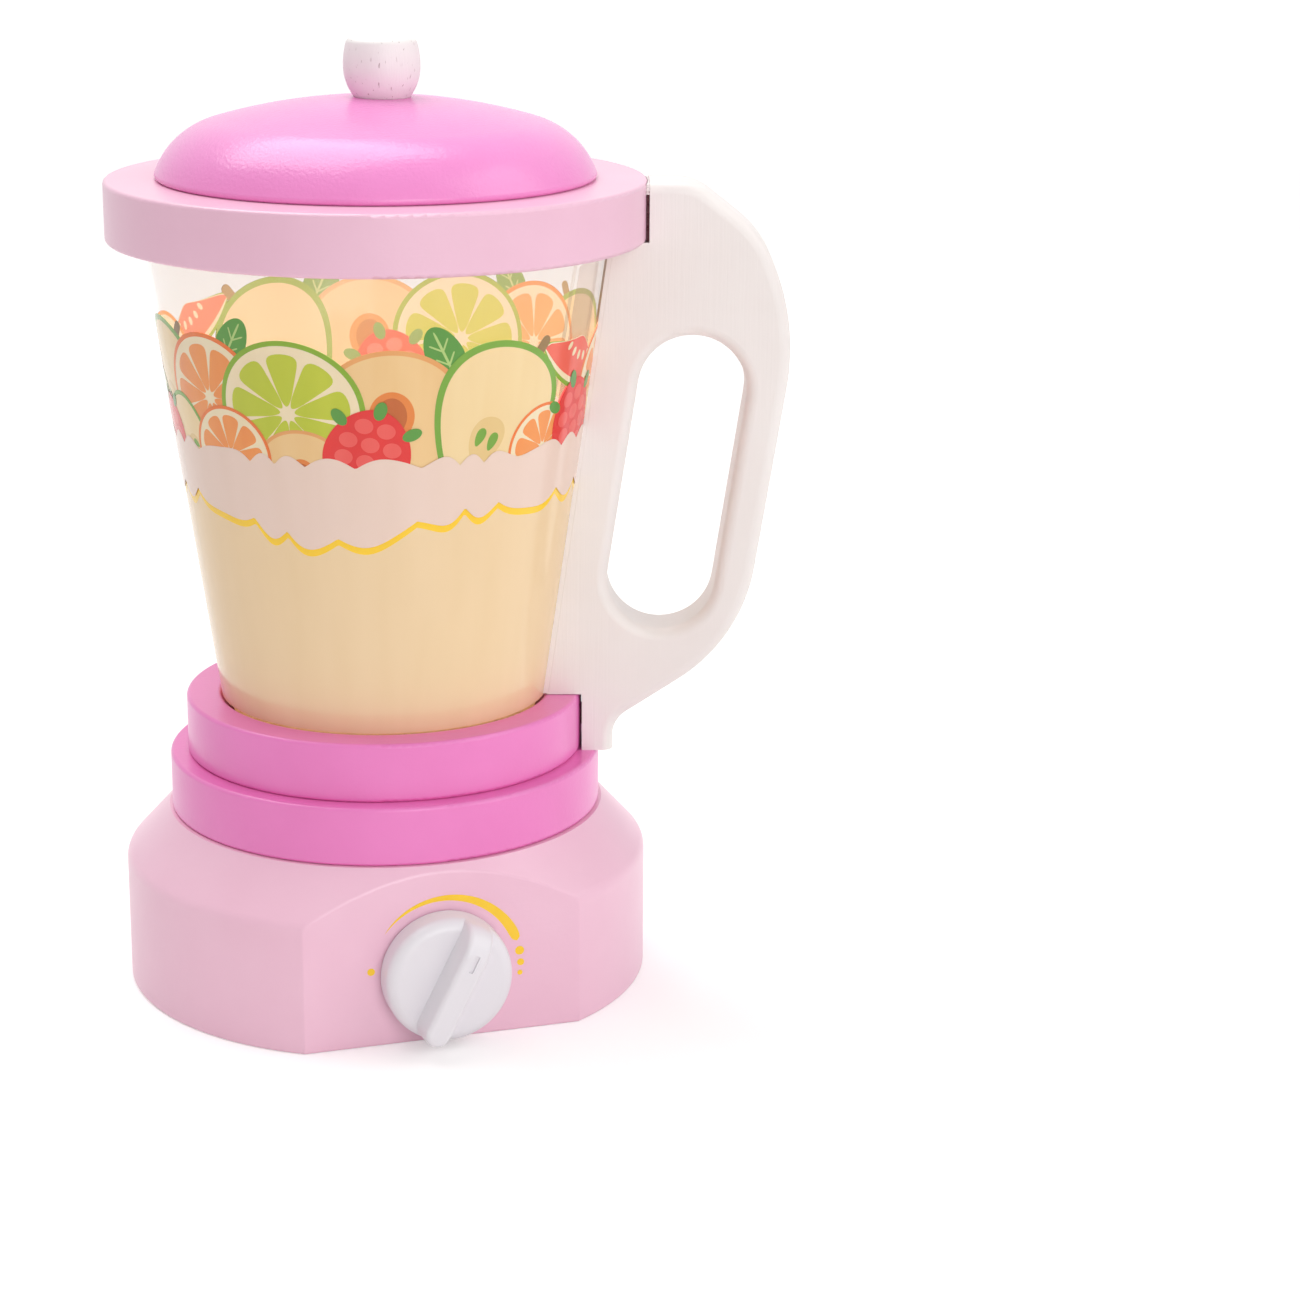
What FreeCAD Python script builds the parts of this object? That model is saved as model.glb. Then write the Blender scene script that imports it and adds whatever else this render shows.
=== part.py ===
"""Toy blender in painted wood: a base with a clicking dial, a lift-off jug and a lift-off lid.

Millimetres, +Z up. The origin lies on the jug's axis, in the plane of the underside.
The dial looks along -Y. The jug stands on its peg, turned by JUG_TURN from having its
handle along +X. Every piece is a closed solid of its own, written to parts/NODE.step.
"""
import FreeCAD, Part
import math
import os

V = FreeCAD.Vector
Z_AXIS = V(0, 0, 1)

# ---- clearances ------------------------------------------------------------------
GLUE = 0.1              # glue line between pieces that are fixed to each other
RUNNING = 0.05          # radial clearance of a turning shaft or peg
SCREW_CLEAR = 0.05      # radial clearance round a screw's shank
HEAD_CLEAR = 0.15       # clearance round a countersunk head

# ---- base ------------------------------------------------------------------------
BASE_R = 70.0           # round wall
BASE_WALL_H = 34.5      # straight wall, up to the shoulder
SHOULDER_H = 12.7       # sloping shoulder
SHOULDER_STEP = 0.8     # narrow ledge round the disc, on top of the shoulder
SHOULDER_EDGE_R = 4.0   # soft edge between wall and shoulder
FLAT_EDGE_R = 1.0       # edges of the front flat
BASE_FOOT_EDGE_R = 0.8
FLAT_CUT = 10.3         # the front flat, which carries the dial, lies this deep in the wall
HOLLOW_R = 42.0         # hollow under the base
HOLLOW_CEILING_Z = 33.0
POCKET_HALF_W = 24.0    # flat-fronted pocket for the click work, joined to the hollow
FRONT_WALL_T = 12.7     # wood left between the pocket and the flat
DISC_T = 15.5           # disc on top of the base
DISC_STEP = 4.7         # the disc stands out this far round the jug's ring
BOARD_EDGE_R = 1.0      # rounded edges of the disc, ring and collar
BASE_DOWEL_R = 4.0
BASE_DOWEL_LENGTH = 20.0
BASE_DOWEL_SPAN = 60.0  # between the two dowels' axes
BASE_DOWEL_Y = 12.0
COVER_R = 54.0          # plywood cover let into the underside
COVER_T = 3.6
COVER_EDGE_GAP = 0.3
COVER_SCREW_CIRCLE_R = 48.0
COVER_SCREW_COUNT = 4
COVER_SCREW_LENGTH = 16.0
COVER_SCREW_R = 1.6
COVER_SCREW_HEAD_R = 3.4

# ---- peg between base and jug ----------------------------------------------------
PEG_R = 10.0
PEG_IN_BASE = 10.0      # depth in the disc
PEG_IN_JUG = 7.5        # height in the jug's floor
PEG_END_GAP = 0.5       # play at the peg's lower and upper end
PEG_CHAMFER = 1.0

# ---- jug -------------------------------------------------------------------------
JUG_TURN = -16.85       # degrees about +Z, from the handle's place along +X
RING_T = 15.5           # ring round the foot of the cup
RING_W = 9.1
RING_CUP_GAP = 0.5      # between the cup and the ring's bore, at the ring's top
CUP_SHOWN_H = 121.0     # cup between the ring and the collar
CUP_R_LOW = 43.2        # outside, level with the ring's top
CUP_R_HIGH = 60.2       # outside, level with the collar's underside
CUP_WALL = 1.2
SEAM_LAP_T = 0.8        # the rolled sheet laps over itself inside, behind the handle
SEAM_LAP_FRONT = 28.0   # reach of the lap from the handle's middle, to the front and to the back
SEAM_LAP_BACK = 9.0
FLOOR_FLANGE_T = 3.5    # turned floor of the jug: flange in the ring, plug in the cup
FLOOR_PLUG_T = 8.0
COLLAR_T = 15.5         # ring round the cup's mouth
COLLAR_OUT = 9.4        # how far it stands out round the cup
COLLAR_IN = 9.6         # how far it reaches in over the cup's rim
COLLAR_REBATE_H = 6.0   # step under the collar that takes the cup's rim

# ---- handle: u is the distance from the jug's axis -------------------------------
HANDLE_T = 18.0
HANDLE_EDGE_R = 3.0     # rounded over on both faces, outside and in the grip
HANDLE_SEAT_EDGE_R = 0.7
HANDLE_CUP_GAP = 0.15
HANDLE_COLLAR_GAP = 0.4
HANDLE_RING_GAP = 0.15
HANDLE_REACH_TOP = 51.3     # cup to the straight back of the grip, at its upper end
HANDLE_REACH_LOW = 50.5     # and at its lower end
HANDLE_BACK_DROP = 56.0     # collar's top down to the upper end
HANDLE_BACK_RISE = 49.9     # seat up to the lower end
HANDLE_BROW_DROP = 37.0     # collar's top down to where the straight back would meet the bend
HANDLE_TOP_W = 11.8     # level top, from the collar to where it would meet the falling crest
HANDLE_CREST_R = 14.0   # curve from the level top into the crest
HANDLE_CREST_SLOPE = 38.0   # degrees that the crest falls
HANDLE_BEND_SLOPE = 67.5    # degrees that the run below it falls
HANDLE_BEND_SHARE = 0.28    # shares of that run that its upper and lower curve take
HANDLE_BROW_SHARE = 0.66
HANDLE_HEEL_R = 45.0    # round heel below the straight back
HANDLE_HEEL_SLOPE = 33.0    # degrees: how steeply the heel runs down to the foot
HANDLE_FOOT_T = 8.2     # foot that stands on the disc beside the ring
HANDLE_FOOT_R = 8.0     # hollow curve above the foot
GRIP_R = 14.2           # half the width of the slanting grip hole
GRIP_REACH_TOP = 26.7       # cup to the centre of the hole's upper end
GRIP_REACH_LOW = 26.1
GRIP_DROP = 54.0            # collar's top down to the upper centre
GRIP_RISE = 47.7            # seat up to the lower centre
HANDLE_DOWEL_R = 3.0
COLLAR_DOWEL_LENGTH = 19.0
RING_DOWEL_LENGTH = 11.0
DOWEL_IN_HANDLE = 0.5   # share of a dowel's length that is in the handle

# ---- lid -------------------------------------------------------------------------
LID_INSET = 11.7        # collar's edge to the widest reach of the shoulder's curve
LID_RISE = 20.5         # seat to the top of the crown
LID_SHOULDER_R = 21.2   # radius of the rounded shoulder, in section
LID_SHOULDER_DROP = 5.9     # the shoulder's centre lies this far below the seat
LID_EDGE_R = 1.2
LID_PLUG_T = 8.0        # disc under the lid that drops into the collar
LID_PLUG_CLEAR = 0.5
LID_PLUG_EDGE_R = 1.2
KNOB_SEAT_DEPTH = 0.45  # the crown is faced flat for the knob
KNOB_SEAT_CLEAR = 0.3
KNOB_OFF = 1.7          # knob and screw stand this far off the lid's axis, towards the handle
KNOB_FOOT_R = 7.0
KNOB_R = 9.9
KNOB_WIDEST_H = 8.2     # above the knob's foot
KNOB_SHOULDER_R = 8.8
KNOB_SHOULDER_H = 15.1
KNOB_EDGE_R = 1.8
KNOB_H = 15.7
LID_SCREW_R = 2.0
LID_SCREW_HEAD_R = 4.0
LID_SCREW_IN_KNOB = 9.0

# ---- dial and click work: distances along the dial's axis are from the flat -------
DIAL_Z = 18.8
DIAL_R = 16.65
DIAL_GAP = 0.6          # dial's back to the flat
DIAL_T = 8.0
DIAL_RIM_R = 3.2        # rounded front rim
DIAL_SKIN = 2.0         # the moulded dial is hollow behind
DIAL_TURN = 27.0        # degrees clockwise, seen from the front
BAR_FOOT_W = 7.6        # grip bar across the dial, foot and top
BAR_TOP_W = 6.4
BAR_H = 8.0             # above the dial's face
BAR_EDGE_R = 1.4
BAR_TAIL_REACH = 16.0   # dial's axis to the bar's round tail, level with the face
POINTER_FALL_R = 7.4    # curve in which the pointer end falls to the rim
MARK_L = 4.6            # pointer groove in the bar
MARK_W = 1.4
MARK_DEPTH = 0.6
MARK_FROM_RIM = 6.0
HUB_R = 5.5
SHAFT_R = 3.0
SHAFT_FLAT = 0.8        # depth of the flat along the shaft
SHAFT_IN_HUB = 7.0
BUSH_R = 5.0
WASHER_R = 6.5
WASHER_T = 0.8
WHEEL_R = 11.0
WHEEL_T = 4.0
CLICKS = 12
NOTCH_R = 1.6
NOTCH_OUT = 0.45        # a notch's centre lies this far outside the wheel's rim
DIAL_SCREW_R = 1.25
DIAL_SCREW_HEAD_R = 4.2
DIAL_SCREW_HEAD_T = 1.8
DIAL_SCREW_LENGTH = 8.0
SPRING_T = 0.5          # click spring: a bent strip with a round nib
NIB_CLEAR = 0.2
SPRING_SEAT_L = 9.0
SPRING_REACH = 22.0     # nib to the strip's fixed end
SPRING_SCREW_R = 1.1
SPRING_SCREW_HEAD_R = 2.4
SPRING_SCREW_HEAD_T = 1.4
SPRING_SCREW_LENGTH = 9.0

# ---- levels and places worked out from the above ---------------------------------
RING_BORE_R = CUP_R_LOW + RING_CUP_GAP
RING_R = RING_BORE_R + RING_W
DISC_R = RING_R + DISC_STEP
SHOULDER_TOP_R = DISC_R + SHOULDER_STEP
FLAT_DIST = BASE_R - FLAT_CUT           # axis to the front flat
COLLAR_R = CUP_R_HIGH + COLLAR_OUT
COLLAR_BORE_R = CUP_R_HIGH - COLLAR_IN
LID_R = COLLAR_R - LID_INSET
Z_DISC = BASE_WALL_H + SHOULDER_H
Z_SEAT = Z_DISC + DISC_T                # the jug stands here
Z_RING_TOP = Z_SEAT + RING_T
Z_COLLAR = Z_RING_TOP + CUP_SHOWN_H
Z_COLLAR_TOP = Z_COLLAR + COLLAR_T      # the lid rests here
Z_LID_TOP = Z_COLLAR_TOP + LID_RISE
Z_KNOB = Z_LID_TOP - KNOB_SEAT_DEPTH
Z_CUP_FOOT = Z_SEAT + FLOOR_FLANGE_T + GLUE
Z_CUP_RIM = Z_COLLAR + COLLAR_REBATE_H - GLUE
Z_FLOOR_TOP = Z_SEAT + FLOOR_FLANGE_T + FLOOR_PLUG_T
Z_PLUG = Z_COLLAR_TOP - LID_PLUG_T
CUP_SLOPE = (CUP_R_HIGH - CUP_R_LOW) / CUP_SHOWN_H
POCKET_FRONT = FLAT_DIST - FRONT_WALL_T
WHEEL_BACK = -FRONT_WALL_T - WASHER_T - WHEEL_T
BOUND = 4 * BASE_R                      # larger than any piece, for cutting tools


def cup_r(z):
    """Outside radius of the cup at height z."""
    return CUP_R_LOW + CUP_SLOPE * (z - Z_RING_TOP)


# ---- shapes ----------------------------------------------------------------------
def rounded_wire(corners, y=0.0):
    """Closed wire in an XZ plane through corners (x, z, radius), with tangent arcs."""
    points = [V(a, y, b) for a, b, _ in corners]
    stretches = []
    for i, (_, _, radius) in enumerate(corners):
        here = points[i]
        back = (points[i - 1] - here).normalize()
        ahead = (points[(i + 1) % len(points)] - here).normalize()
        half = 0.5 * back.getAngle(ahead)
        if radius == 0:
            stretches.append((here, None, here))
            continue
        reach = radius / math.tan(half)
        middle = (back + ahead).normalize()
        stretches.append((
            here + back * reach,
            here + middle * (radius / math.sin(half) - radius),
            here + ahead * reach))
    edges = []
    for i, (start, crown, end) in enumerate(stretches):
        last = stretches[i - 1][2]
        if start.distanceToPoint(last) > 1e-6:
            edges.append(Part.makeLine(last, start))
        if crown is not None:
            edges.append(Part.Arc(start, crown, end).toShape())
    return Part.Wire(edges)


def turned(corners):
    """Solid of revolution about Z from a profile of corners (r, z, radius)."""
    face = Part.Face(rounded_wire(corners))
    return face.revolve(V(0, 0, 0), Z_AXIS, 360)


def rod(r, z0, z1, x=0.0, y=0.0):
    """Upright cylinder between two heights."""
    return Part.makeCylinder(r, z1 - z0, V(x, y, z0), Z_AXIS)


def radial_rod(r, u0, u1, z):
    """Cylinder along +X between two distances from the axis."""
    return Part.makeCylinder(r, u1 - u0, V(u0, 0, z), V(1, 0, 0))


def dial_rod(r, d0, d1):
    """Cylinder on the dial's axis, between two distances in front of the flat."""
    return Part.makeCylinder(r, d1 - d0, V(0, -FLAT_DIST - d0, DIAL_Z), V(0, -1, 0))


def box(x0, x1, y0, y1, z0, z1):
    """Box between two corners."""
    return Part.makeBox(x1 - x0, y1 - y0, z1 - z0, V(x0, y0, z0))


def arc(centre, radius, start, end):
    """Arc in an XZ plane about a centre, between two angles from +X."""
    def at(angle):
        return centre + V(radius * math.cos(angle), 0, radius * math.sin(angle))
    return Part.Arc(at(start), at(0.5 * (start + end)), at(end)).toShape()


def cap_radius(half_width, rise):
    """Radius of the arc that rises by rise over half_width."""
    return (half_width ** 2 + rise ** 2) / (2 * rise)


def union(first, *others):
    """One solid from overlapping shapes, without seams on shared faces."""
    return first.fuse(list(others)).removeSplitter()


def less(shape, *tools):
    """Shape with the tools cut out of it."""
    return shape.cut(list(tools))


def round_edges(solid, radius, chosen):
    """Round the edges for which chosen(edge) is true."""
    return solid.makeFillet(radius, [edge for edge in solid.Edges if chosen(edge)])


def middle_of(edge):
    """Point halfway along an edge."""
    return edge.valueAt(0.5 * (edge.FirstParameter + edge.LastParameter))


def countersunk_screw(r, head_r, length):
    """Screw up +Z with its flat head's face at z = 0, and a cross recess in the face."""
    head_h = head_r - r
    head = Part.makeCone(head_r, r, head_h, V(0, 0, 0), Z_AXIS)
    shank = rod(r, 0, length - r)
    point = Part.makeCone(r, 0.2 * r, r, V(0, 0, length - r), Z_AXIS)
    arm, width, depth = 0.55 * head_r, 0.16 * head_r, 0.6 * head_h
    cross = union(box(-arm, arm, -width, width, 0, depth), box(-width, width, -arm, arm, 0, depth))
    return less(union(head, shank, point), cross)


def screw_hole(r, head_r, length):
    """Space that a countersunk screw takes, with its clearances."""
    wide = head_r + HEAD_CLEAR
    return union(
        Part.makeCone(wide, r, wide - r, V(0, 0, 0), Z_AXIS),
        rod(r + SCREW_CLEAR, 0, length + SCREW_CLEAR))


def cylinder_head_screw(r, head_r, head_t, length):
    """Screw up +Z: the head hangs below z = 0, with a slot across its face."""
    slot = box(-head_r, head_r, -0.12 * head_r, 0.12 * head_r, -head_t, -0.55 * head_t)
    return less(union(rod(head_r, -head_t, 0), rod(r, 0, length)), slot)


def on_dial_axis(shape, distance):
    """Turn a shape built up +Z so that it points out of the flat, from a distance in front."""
    placed = shape.copy()
    placed.rotate(V(0, 0, 0), V(1, 0, 0), 90)
    placed.translate(V(0, -FLAT_DIST - distance, DIAL_Z))
    return placed


# ---- base ------------------------------------------------------------------------
def base_dowel_places():
    """Axes of the dowels between block and disc."""
    return [(side * 0.5 * BASE_DOWEL_SPAN, BASE_DOWEL_Y) for side in (-1, 1)]


def cover_screw_places():
    """Axes of the cover's screws, evenly round the circle, clear of the front."""
    step = 2 * math.pi / COVER_SCREW_COUNT
    angles = [(i + 0.5) * step - 0.5 * math.pi for i in range(COVER_SCREW_COUNT)]
    return [(COVER_SCREW_CIRCLE_R * math.cos(a), COVER_SCREW_CIRCLE_R * math.sin(a)) for a in angles]


def at_each(shape, places, z=0.0):
    """Copies of a shape at each (x, y) place."""
    copies = []
    for x, y in places:
        copy = shape.copy()
        copy.translate(V(x, y, z))
        copies.append(copy)
    return copies


def base_block():
    """Round block with a sloping shoulder and one flat, hollow underneath."""
    block = turned([
        (0, 0, 0), (BASE_R, 0, 0), (BASE_R, BASE_WALL_H, SHOULDER_EDGE_R),
        (SHOULDER_TOP_R, Z_DISC, 0), (0, Z_DISC, 0)])
    block = less(block, box(-BOUND, BOUND, -BOUND, -FLAT_DIST, -1, BOUND))
    block = round_edges(block, FLAT_EDGE_R, is_flat_edge)
    block = round_edges(block, BASE_FOOT_EDGE_R, lambda edge: edge.BoundBox.ZMax < 1e-4)
    hollow = rod(HOLLOW_R, -1, HOLLOW_CEILING_Z)
    pocket = box(-POCKET_HALF_W, POCKET_HALF_W, -POCKET_FRONT, 0, -1, HOLLOW_CEILING_Z)
    recess = rod(COVER_R + COVER_EDGE_GAP, -1, COVER_T)
    bush_hole = dial_rod(BUSH_R + GLUE, -FRONT_WALL_T - 1, 1)
    dowel_hole = rod(BASE_DOWEL_R + GLUE, Z_DISC - 0.5 * BASE_DOWEL_LENGTH - GLUE, Z_DISC + 1)
    cover_hole = screw_hole(COVER_SCREW_R, COVER_SCREW_HEAD_R, COVER_SCREW_LENGTH)
    spring_hole = rod(
        SPRING_SCREW_R + SCREW_CLEAR, HOLLOW_CEILING_Z - 1, spring_screw_z() + SPRING_SCREW_LENGTH)
    return less(
        block, hollow, pocket, recess, bush_hole,
        *at_each(dowel_hole, base_dowel_places()),
        *at_each(cover_hole, cover_screw_places()),
        *at_each(spring_hole, [spring_screw_place()]))


def is_flat_edge(edge):
    """True for the sides and the top of the front flat."""
    at = middle_of(edge)
    return at.z > 1 and abs(at.y + FLAT_DIST) < 1e-4


def base_disc():
    """Disc glued on the block, with the blind hole for the peg."""
    disc = turned([
        (0, Z_DISC, 0), (DISC_R, Z_DISC, BOARD_EDGE_R), (DISC_R, Z_SEAT, BOARD_EDGE_R), (0, Z_SEAT, 0)])
    peg_hole = rod(PEG_R + RUNNING, Z_SEAT - PEG_IN_BASE - PEG_END_GAP, Z_SEAT + 1)
    dowel_hole = rod(BASE_DOWEL_R + GLUE, Z_DISC - 1, Z_DISC + 0.5 * BASE_DOWEL_LENGTH + GLUE)
    return less(disc, peg_hole, *at_each(dowel_hole, base_dowel_places()))


def base_dowels():
    """Two dowels, half in the block and half in the disc."""
    dowel = rod(BASE_DOWEL_R, Z_DISC - 0.5 * BASE_DOWEL_LENGTH, Z_DISC + 0.5 * BASE_DOWEL_LENGTH)
    return Part.makeCompound(at_each(dowel, base_dowel_places()))


def bottom_cover():
    """Plywood disc let in flush with the underside."""
    hole = screw_hole(COVER_SCREW_R, COVER_SCREW_HEAD_R, COVER_SCREW_LENGTH)
    return less(rod(COVER_R, 0, COVER_T), *at_each(hole, cover_screw_places()))


def cover_screws():
    """Countersunk screws that hold the cover."""
    screw = countersunk_screw(COVER_SCREW_R, COVER_SCREW_HEAD_R, COVER_SCREW_LENGTH)
    return Part.makeCompound(at_each(screw, cover_screw_places()))


def centre_peg():
    """Round peg that locates the jug on the base."""
    z0, z1 = Z_SEAT - PEG_IN_BASE, Z_SEAT + PEG_IN_JUG
    peg = rod(PEG_R, z0, z1)
    return peg.makeChamfer(PEG_CHAMFER, [e for e in peg.Edges if e.Closed])


# ---- jug, built with the handle along +X -----------------------------------------
def jug_floor():
    """Turned floor: the flange sits in the ring, the plug closes the cup."""
    inside = -CUP_WALL - SEAM_LAP_T - GLUE
    flange_r = RING_BORE_R - GLUE
    z_step = Z_SEAT + FLOOR_FLANGE_T
    floor = turned([
        (0, Z_SEAT, 0), (flange_r, Z_SEAT, 0), (flange_r, z_step, 0),
        (cup_r(z_step) + inside, z_step, 0), (cup_r(Z_FLOOR_TOP) + inside, Z_FLOOR_TOP, 0),
        (0, Z_FLOOR_TOP, 0)])
    return less(floor, rod(PEG_R + 2 * RUNNING, Z_SEAT - 1, Z_SEAT + PEG_IN_JUG + PEG_END_GAP))


def cone_shell(outer_gap, inner_gap):
    """Shell between two cones that run parallel to the cup, from its foot to its rim."""
    def at(z, gap):
        return (cup_r(z) - gap, z, 0)
    return turned([
        at(Z_CUP_FOOT, inner_gap), at(Z_CUP_FOOT, outer_gap),
        at(Z_CUP_RIM, outer_gap), at(Z_CUP_RIM, inner_gap)])


def jug_cup():
    """Clear tapered tube rolled from sheet, with its lap seam behind the handle."""
    lap = cone_shell(0.5 * CUP_WALL, CUP_WALL + SEAM_LAP_T)
    strip = box(0, BOUND, -SEAM_LAP_FRONT, SEAM_LAP_BACK, 0, BOUND)
    return union(cone_shell(0, CUP_WALL), lap.common(strip))


def jug_ring():
    """Ring round the foot of the cup."""
    ring = turned([
        (RING_BORE_R, Z_SEAT, 0), (RING_R, Z_SEAT, BOARD_EDGE_R),
        (RING_R, Z_RING_TOP, BOARD_EDGE_R), (RING_BORE_R, Z_RING_TOP, BOARD_EDGE_R)])
    return less(ring, ring_dowel(GLUE))


def jug_collar():
    """Ring round the cup's mouth, stepped underneath for the cup's rim."""
    z_step = Z_COLLAR + COLLAR_REBATE_H
    rebate_r = cup_r(z_step) + GLUE
    collar = turned([
        (rebate_r, Z_COLLAR, 0), (COLLAR_R, Z_COLLAR, BOARD_EDGE_R),
        (COLLAR_R, Z_COLLAR_TOP, BOARD_EDGE_R), (COLLAR_BORE_R, Z_COLLAR_TOP, BOARD_EDGE_R),
        (COLLAR_BORE_R, z_step, 0), (rebate_r, z_step, 0)])
    return less(collar, collar_dowel(GLUE))


def crossing(p, p_angle, q, q_angle):
    """Point where the lines through p and q meet, with their angles from +u, in radians."""
    tan_p, tan_q = math.tan(p_angle), math.tan(q_angle)
    u = (q[1] - p[1] + tan_p * p[0] - tan_q * q[0]) / (tan_p - tan_q)
    return u, p[1] + tan_p * (u - p[0])


def handle_back():
    """Straight back of the grip: the corner above it, its lower end and its slope."""
    z_top = Z_COLLAR_TOP - HANDLE_BACK_DROP
    z_low = Z_SEAT + HANDLE_BACK_RISE
    top_u = cup_r(z_top) + HANDLE_REACH_TOP
    low_u = cup_r(z_low) + HANDLE_REACH_LOW
    rise = math.atan2(z_top - z_low, top_u - low_u)
    z_brow = Z_COLLAR_TOP - HANDLE_BROW_DROP
    return (top_u + (z_brow - z_top) / math.tan(rise), z_brow), (low_u, z_low), rise


def handle_outline():
    """Corners (u, z, radius) of the handle, anticlockwise from the foot."""
    seat = cup_r(0) + HANDLE_CUP_GAP
    ring_u = RING_R + HANDLE_RING_GAP
    collar_u = COLLAR_R + HANDLE_COLLAR_GAP
    foot_u = ring_u + HANDLE_FOOT_T
    z_notch = Z_RING_TOP + HANDLE_RING_GAP
    brow, low, rise = handle_back()
    heel = math.radians(HANDLE_HEEL_SLOPE)
    heel_reach = HANDLE_HEEL_R * math.tan(0.5 * (rise - heel))
    heel_u = low[0] - heel_reach * math.cos(rise)
    heel_z = low[1] - heel_reach * math.sin(rise)
    crest = (collar_u + HANDLE_TOP_W, Z_COLLAR_TOP)
    fall = math.radians(HANDLE_CREST_SLOPE)
    steep = math.radians(HANDLE_BEND_SLOPE)
    bend = crossing(crest, -fall, brow, -steep)
    run = math.hypot(brow[0] - bend[0], brow[1] - bend[1])
    bend_r = HANDLE_BEND_SHARE * run / math.tan(0.5 * (steep - fall))
    brow_r = HANDLE_BROW_SHARE * run / math.tan(0.5 * (math.pi - rise - steep))
    return [
        (ring_u, Z_SEAT, 0),
        (foot_u, Z_SEAT, 0),
        (foot_u, heel_z - (heel_u - foot_u) * math.tan(heel), HANDLE_FOOT_R),
        (heel_u, heel_z, HANDLE_HEEL_R),
        (*brow, brow_r),
        (*bend, bend_r),
        (*crest, HANDLE_CREST_R),
        (collar_u, Z_COLLAR_TOP, 0),
        (collar_u, Z_COLLAR, 0),
        (seat + CUP_SLOPE * Z_COLLAR, Z_COLLAR, 0),
        (seat + CUP_SLOPE * z_notch, z_notch, 0),
        (ring_u, z_notch, 0)]


def handle_slab(wire):
    """Slab of the handle's thickness from an outline in the XZ plane."""
    slab = Part.Face(wire).extrude(V(0, HANDLE_T, 0))
    slab.translate(V(0, -0.5 * HANDLE_T, 0))
    return slab


def grip_hole():
    """Slanting slot with round ends."""
    z_top = Z_COLLAR_TOP - GRIP_DROP
    z_low = Z_SEAT + GRIP_RISE
    top = V(cup_r(z_top) + GRIP_REACH_TOP, 0, z_top)
    low = V(cup_r(z_low) + GRIP_REACH_LOW, 0, z_low)
    along = (top - low).normalize() * GRIP_R
    across = V(along.z, 0, -along.x)
    wire = Part.Wire([
        Part.makeLine(low + across, top + across),
        Part.Arc(top + across, top + along, top - across).toShape(),
        Part.makeLine(top - across, low - across),
        Part.Arc(low - across, low - along, low + across).toShape()])
    return handle_slab(wire)


def is_handle_face_edge(edge):
    """True for an edge that lies in one of the handle's two broad faces."""
    box_of = edge.BoundBox
    return box_of.YLength < 1e-4 and abs(abs(box_of.YMin) - 0.5 * HANDLE_T) < 1e-4


def is_seat_edge(edge):
    """True for the edges where the handle bears on the cup, the ring and the collar."""
    at = middle_of(edge)
    on_cup = abs(at.x - cup_r(at.z) - HANDLE_CUP_GAP) < 0.01
    on_collar = at.z > Z_COLLAR - 0.01 and at.x < COLLAR_R + HANDLE_COLLAR_GAP + 0.01
    on_ring = at.z < Z_RING_TOP + HANDLE_RING_GAP + 0.01 and at.x < RING_R + HANDLE_RING_GAP + 0.01
    on_disc = at.z < Z_SEAT + 0.01
    return on_cup or on_collar or on_ring or on_disc


def jug_handle():
    """Board handle, notched round the ring and the collar."""
    slab = handle_slab(rounded_wire(handle_outline()))
    handle = less(slab, grip_hole())
    handle = round_edges(handle, HANDLE_EDGE_R, lambda e: is_handle_face_edge(e) and not is_seat_edge(e))
    handle = round_edges(handle, HANDLE_SEAT_EDGE_R, is_cup_edge)
    return less(handle, ring_dowel(GLUE), collar_dowel(GLUE))


def is_cup_edge(edge):
    """True for the two long edges beside the cup."""
    at = middle_of(edge)
    return is_handle_face_edge(edge) and abs(at.x - cup_r(at.z) - HANDLE_CUP_GAP) < 0.01


def ring_dowel(gap=0.0):
    """Dowel from the ring into the handle's foot."""
    inner = RING_R - (1 - DOWEL_IN_HANDLE) * RING_DOWEL_LENGTH
    z = Z_SEAT + 0.5 * RING_T
    return radial_rod(HANDLE_DOWEL_R + gap, inner - gap, inner + RING_DOWEL_LENGTH + gap, z)


def collar_dowel(gap=0.0):
    """Dowel from the collar into the top of the handle, above the collar's step."""
    inner = COLLAR_R - (1 - DOWEL_IN_HANDLE) * COLLAR_DOWEL_LENGTH
    z = Z_COLLAR + 0.5 * (COLLAR_T + COLLAR_REBATE_H)
    return radial_rod(HANDLE_DOWEL_R + gap, inner - gap, inner + COLLAR_DOWEL_LENGTH + gap, z)


def handle_dowels():
    """The two dowels that hold the handle."""
    return Part.makeCompound([ring_dowel(), collar_dowel()])


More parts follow.
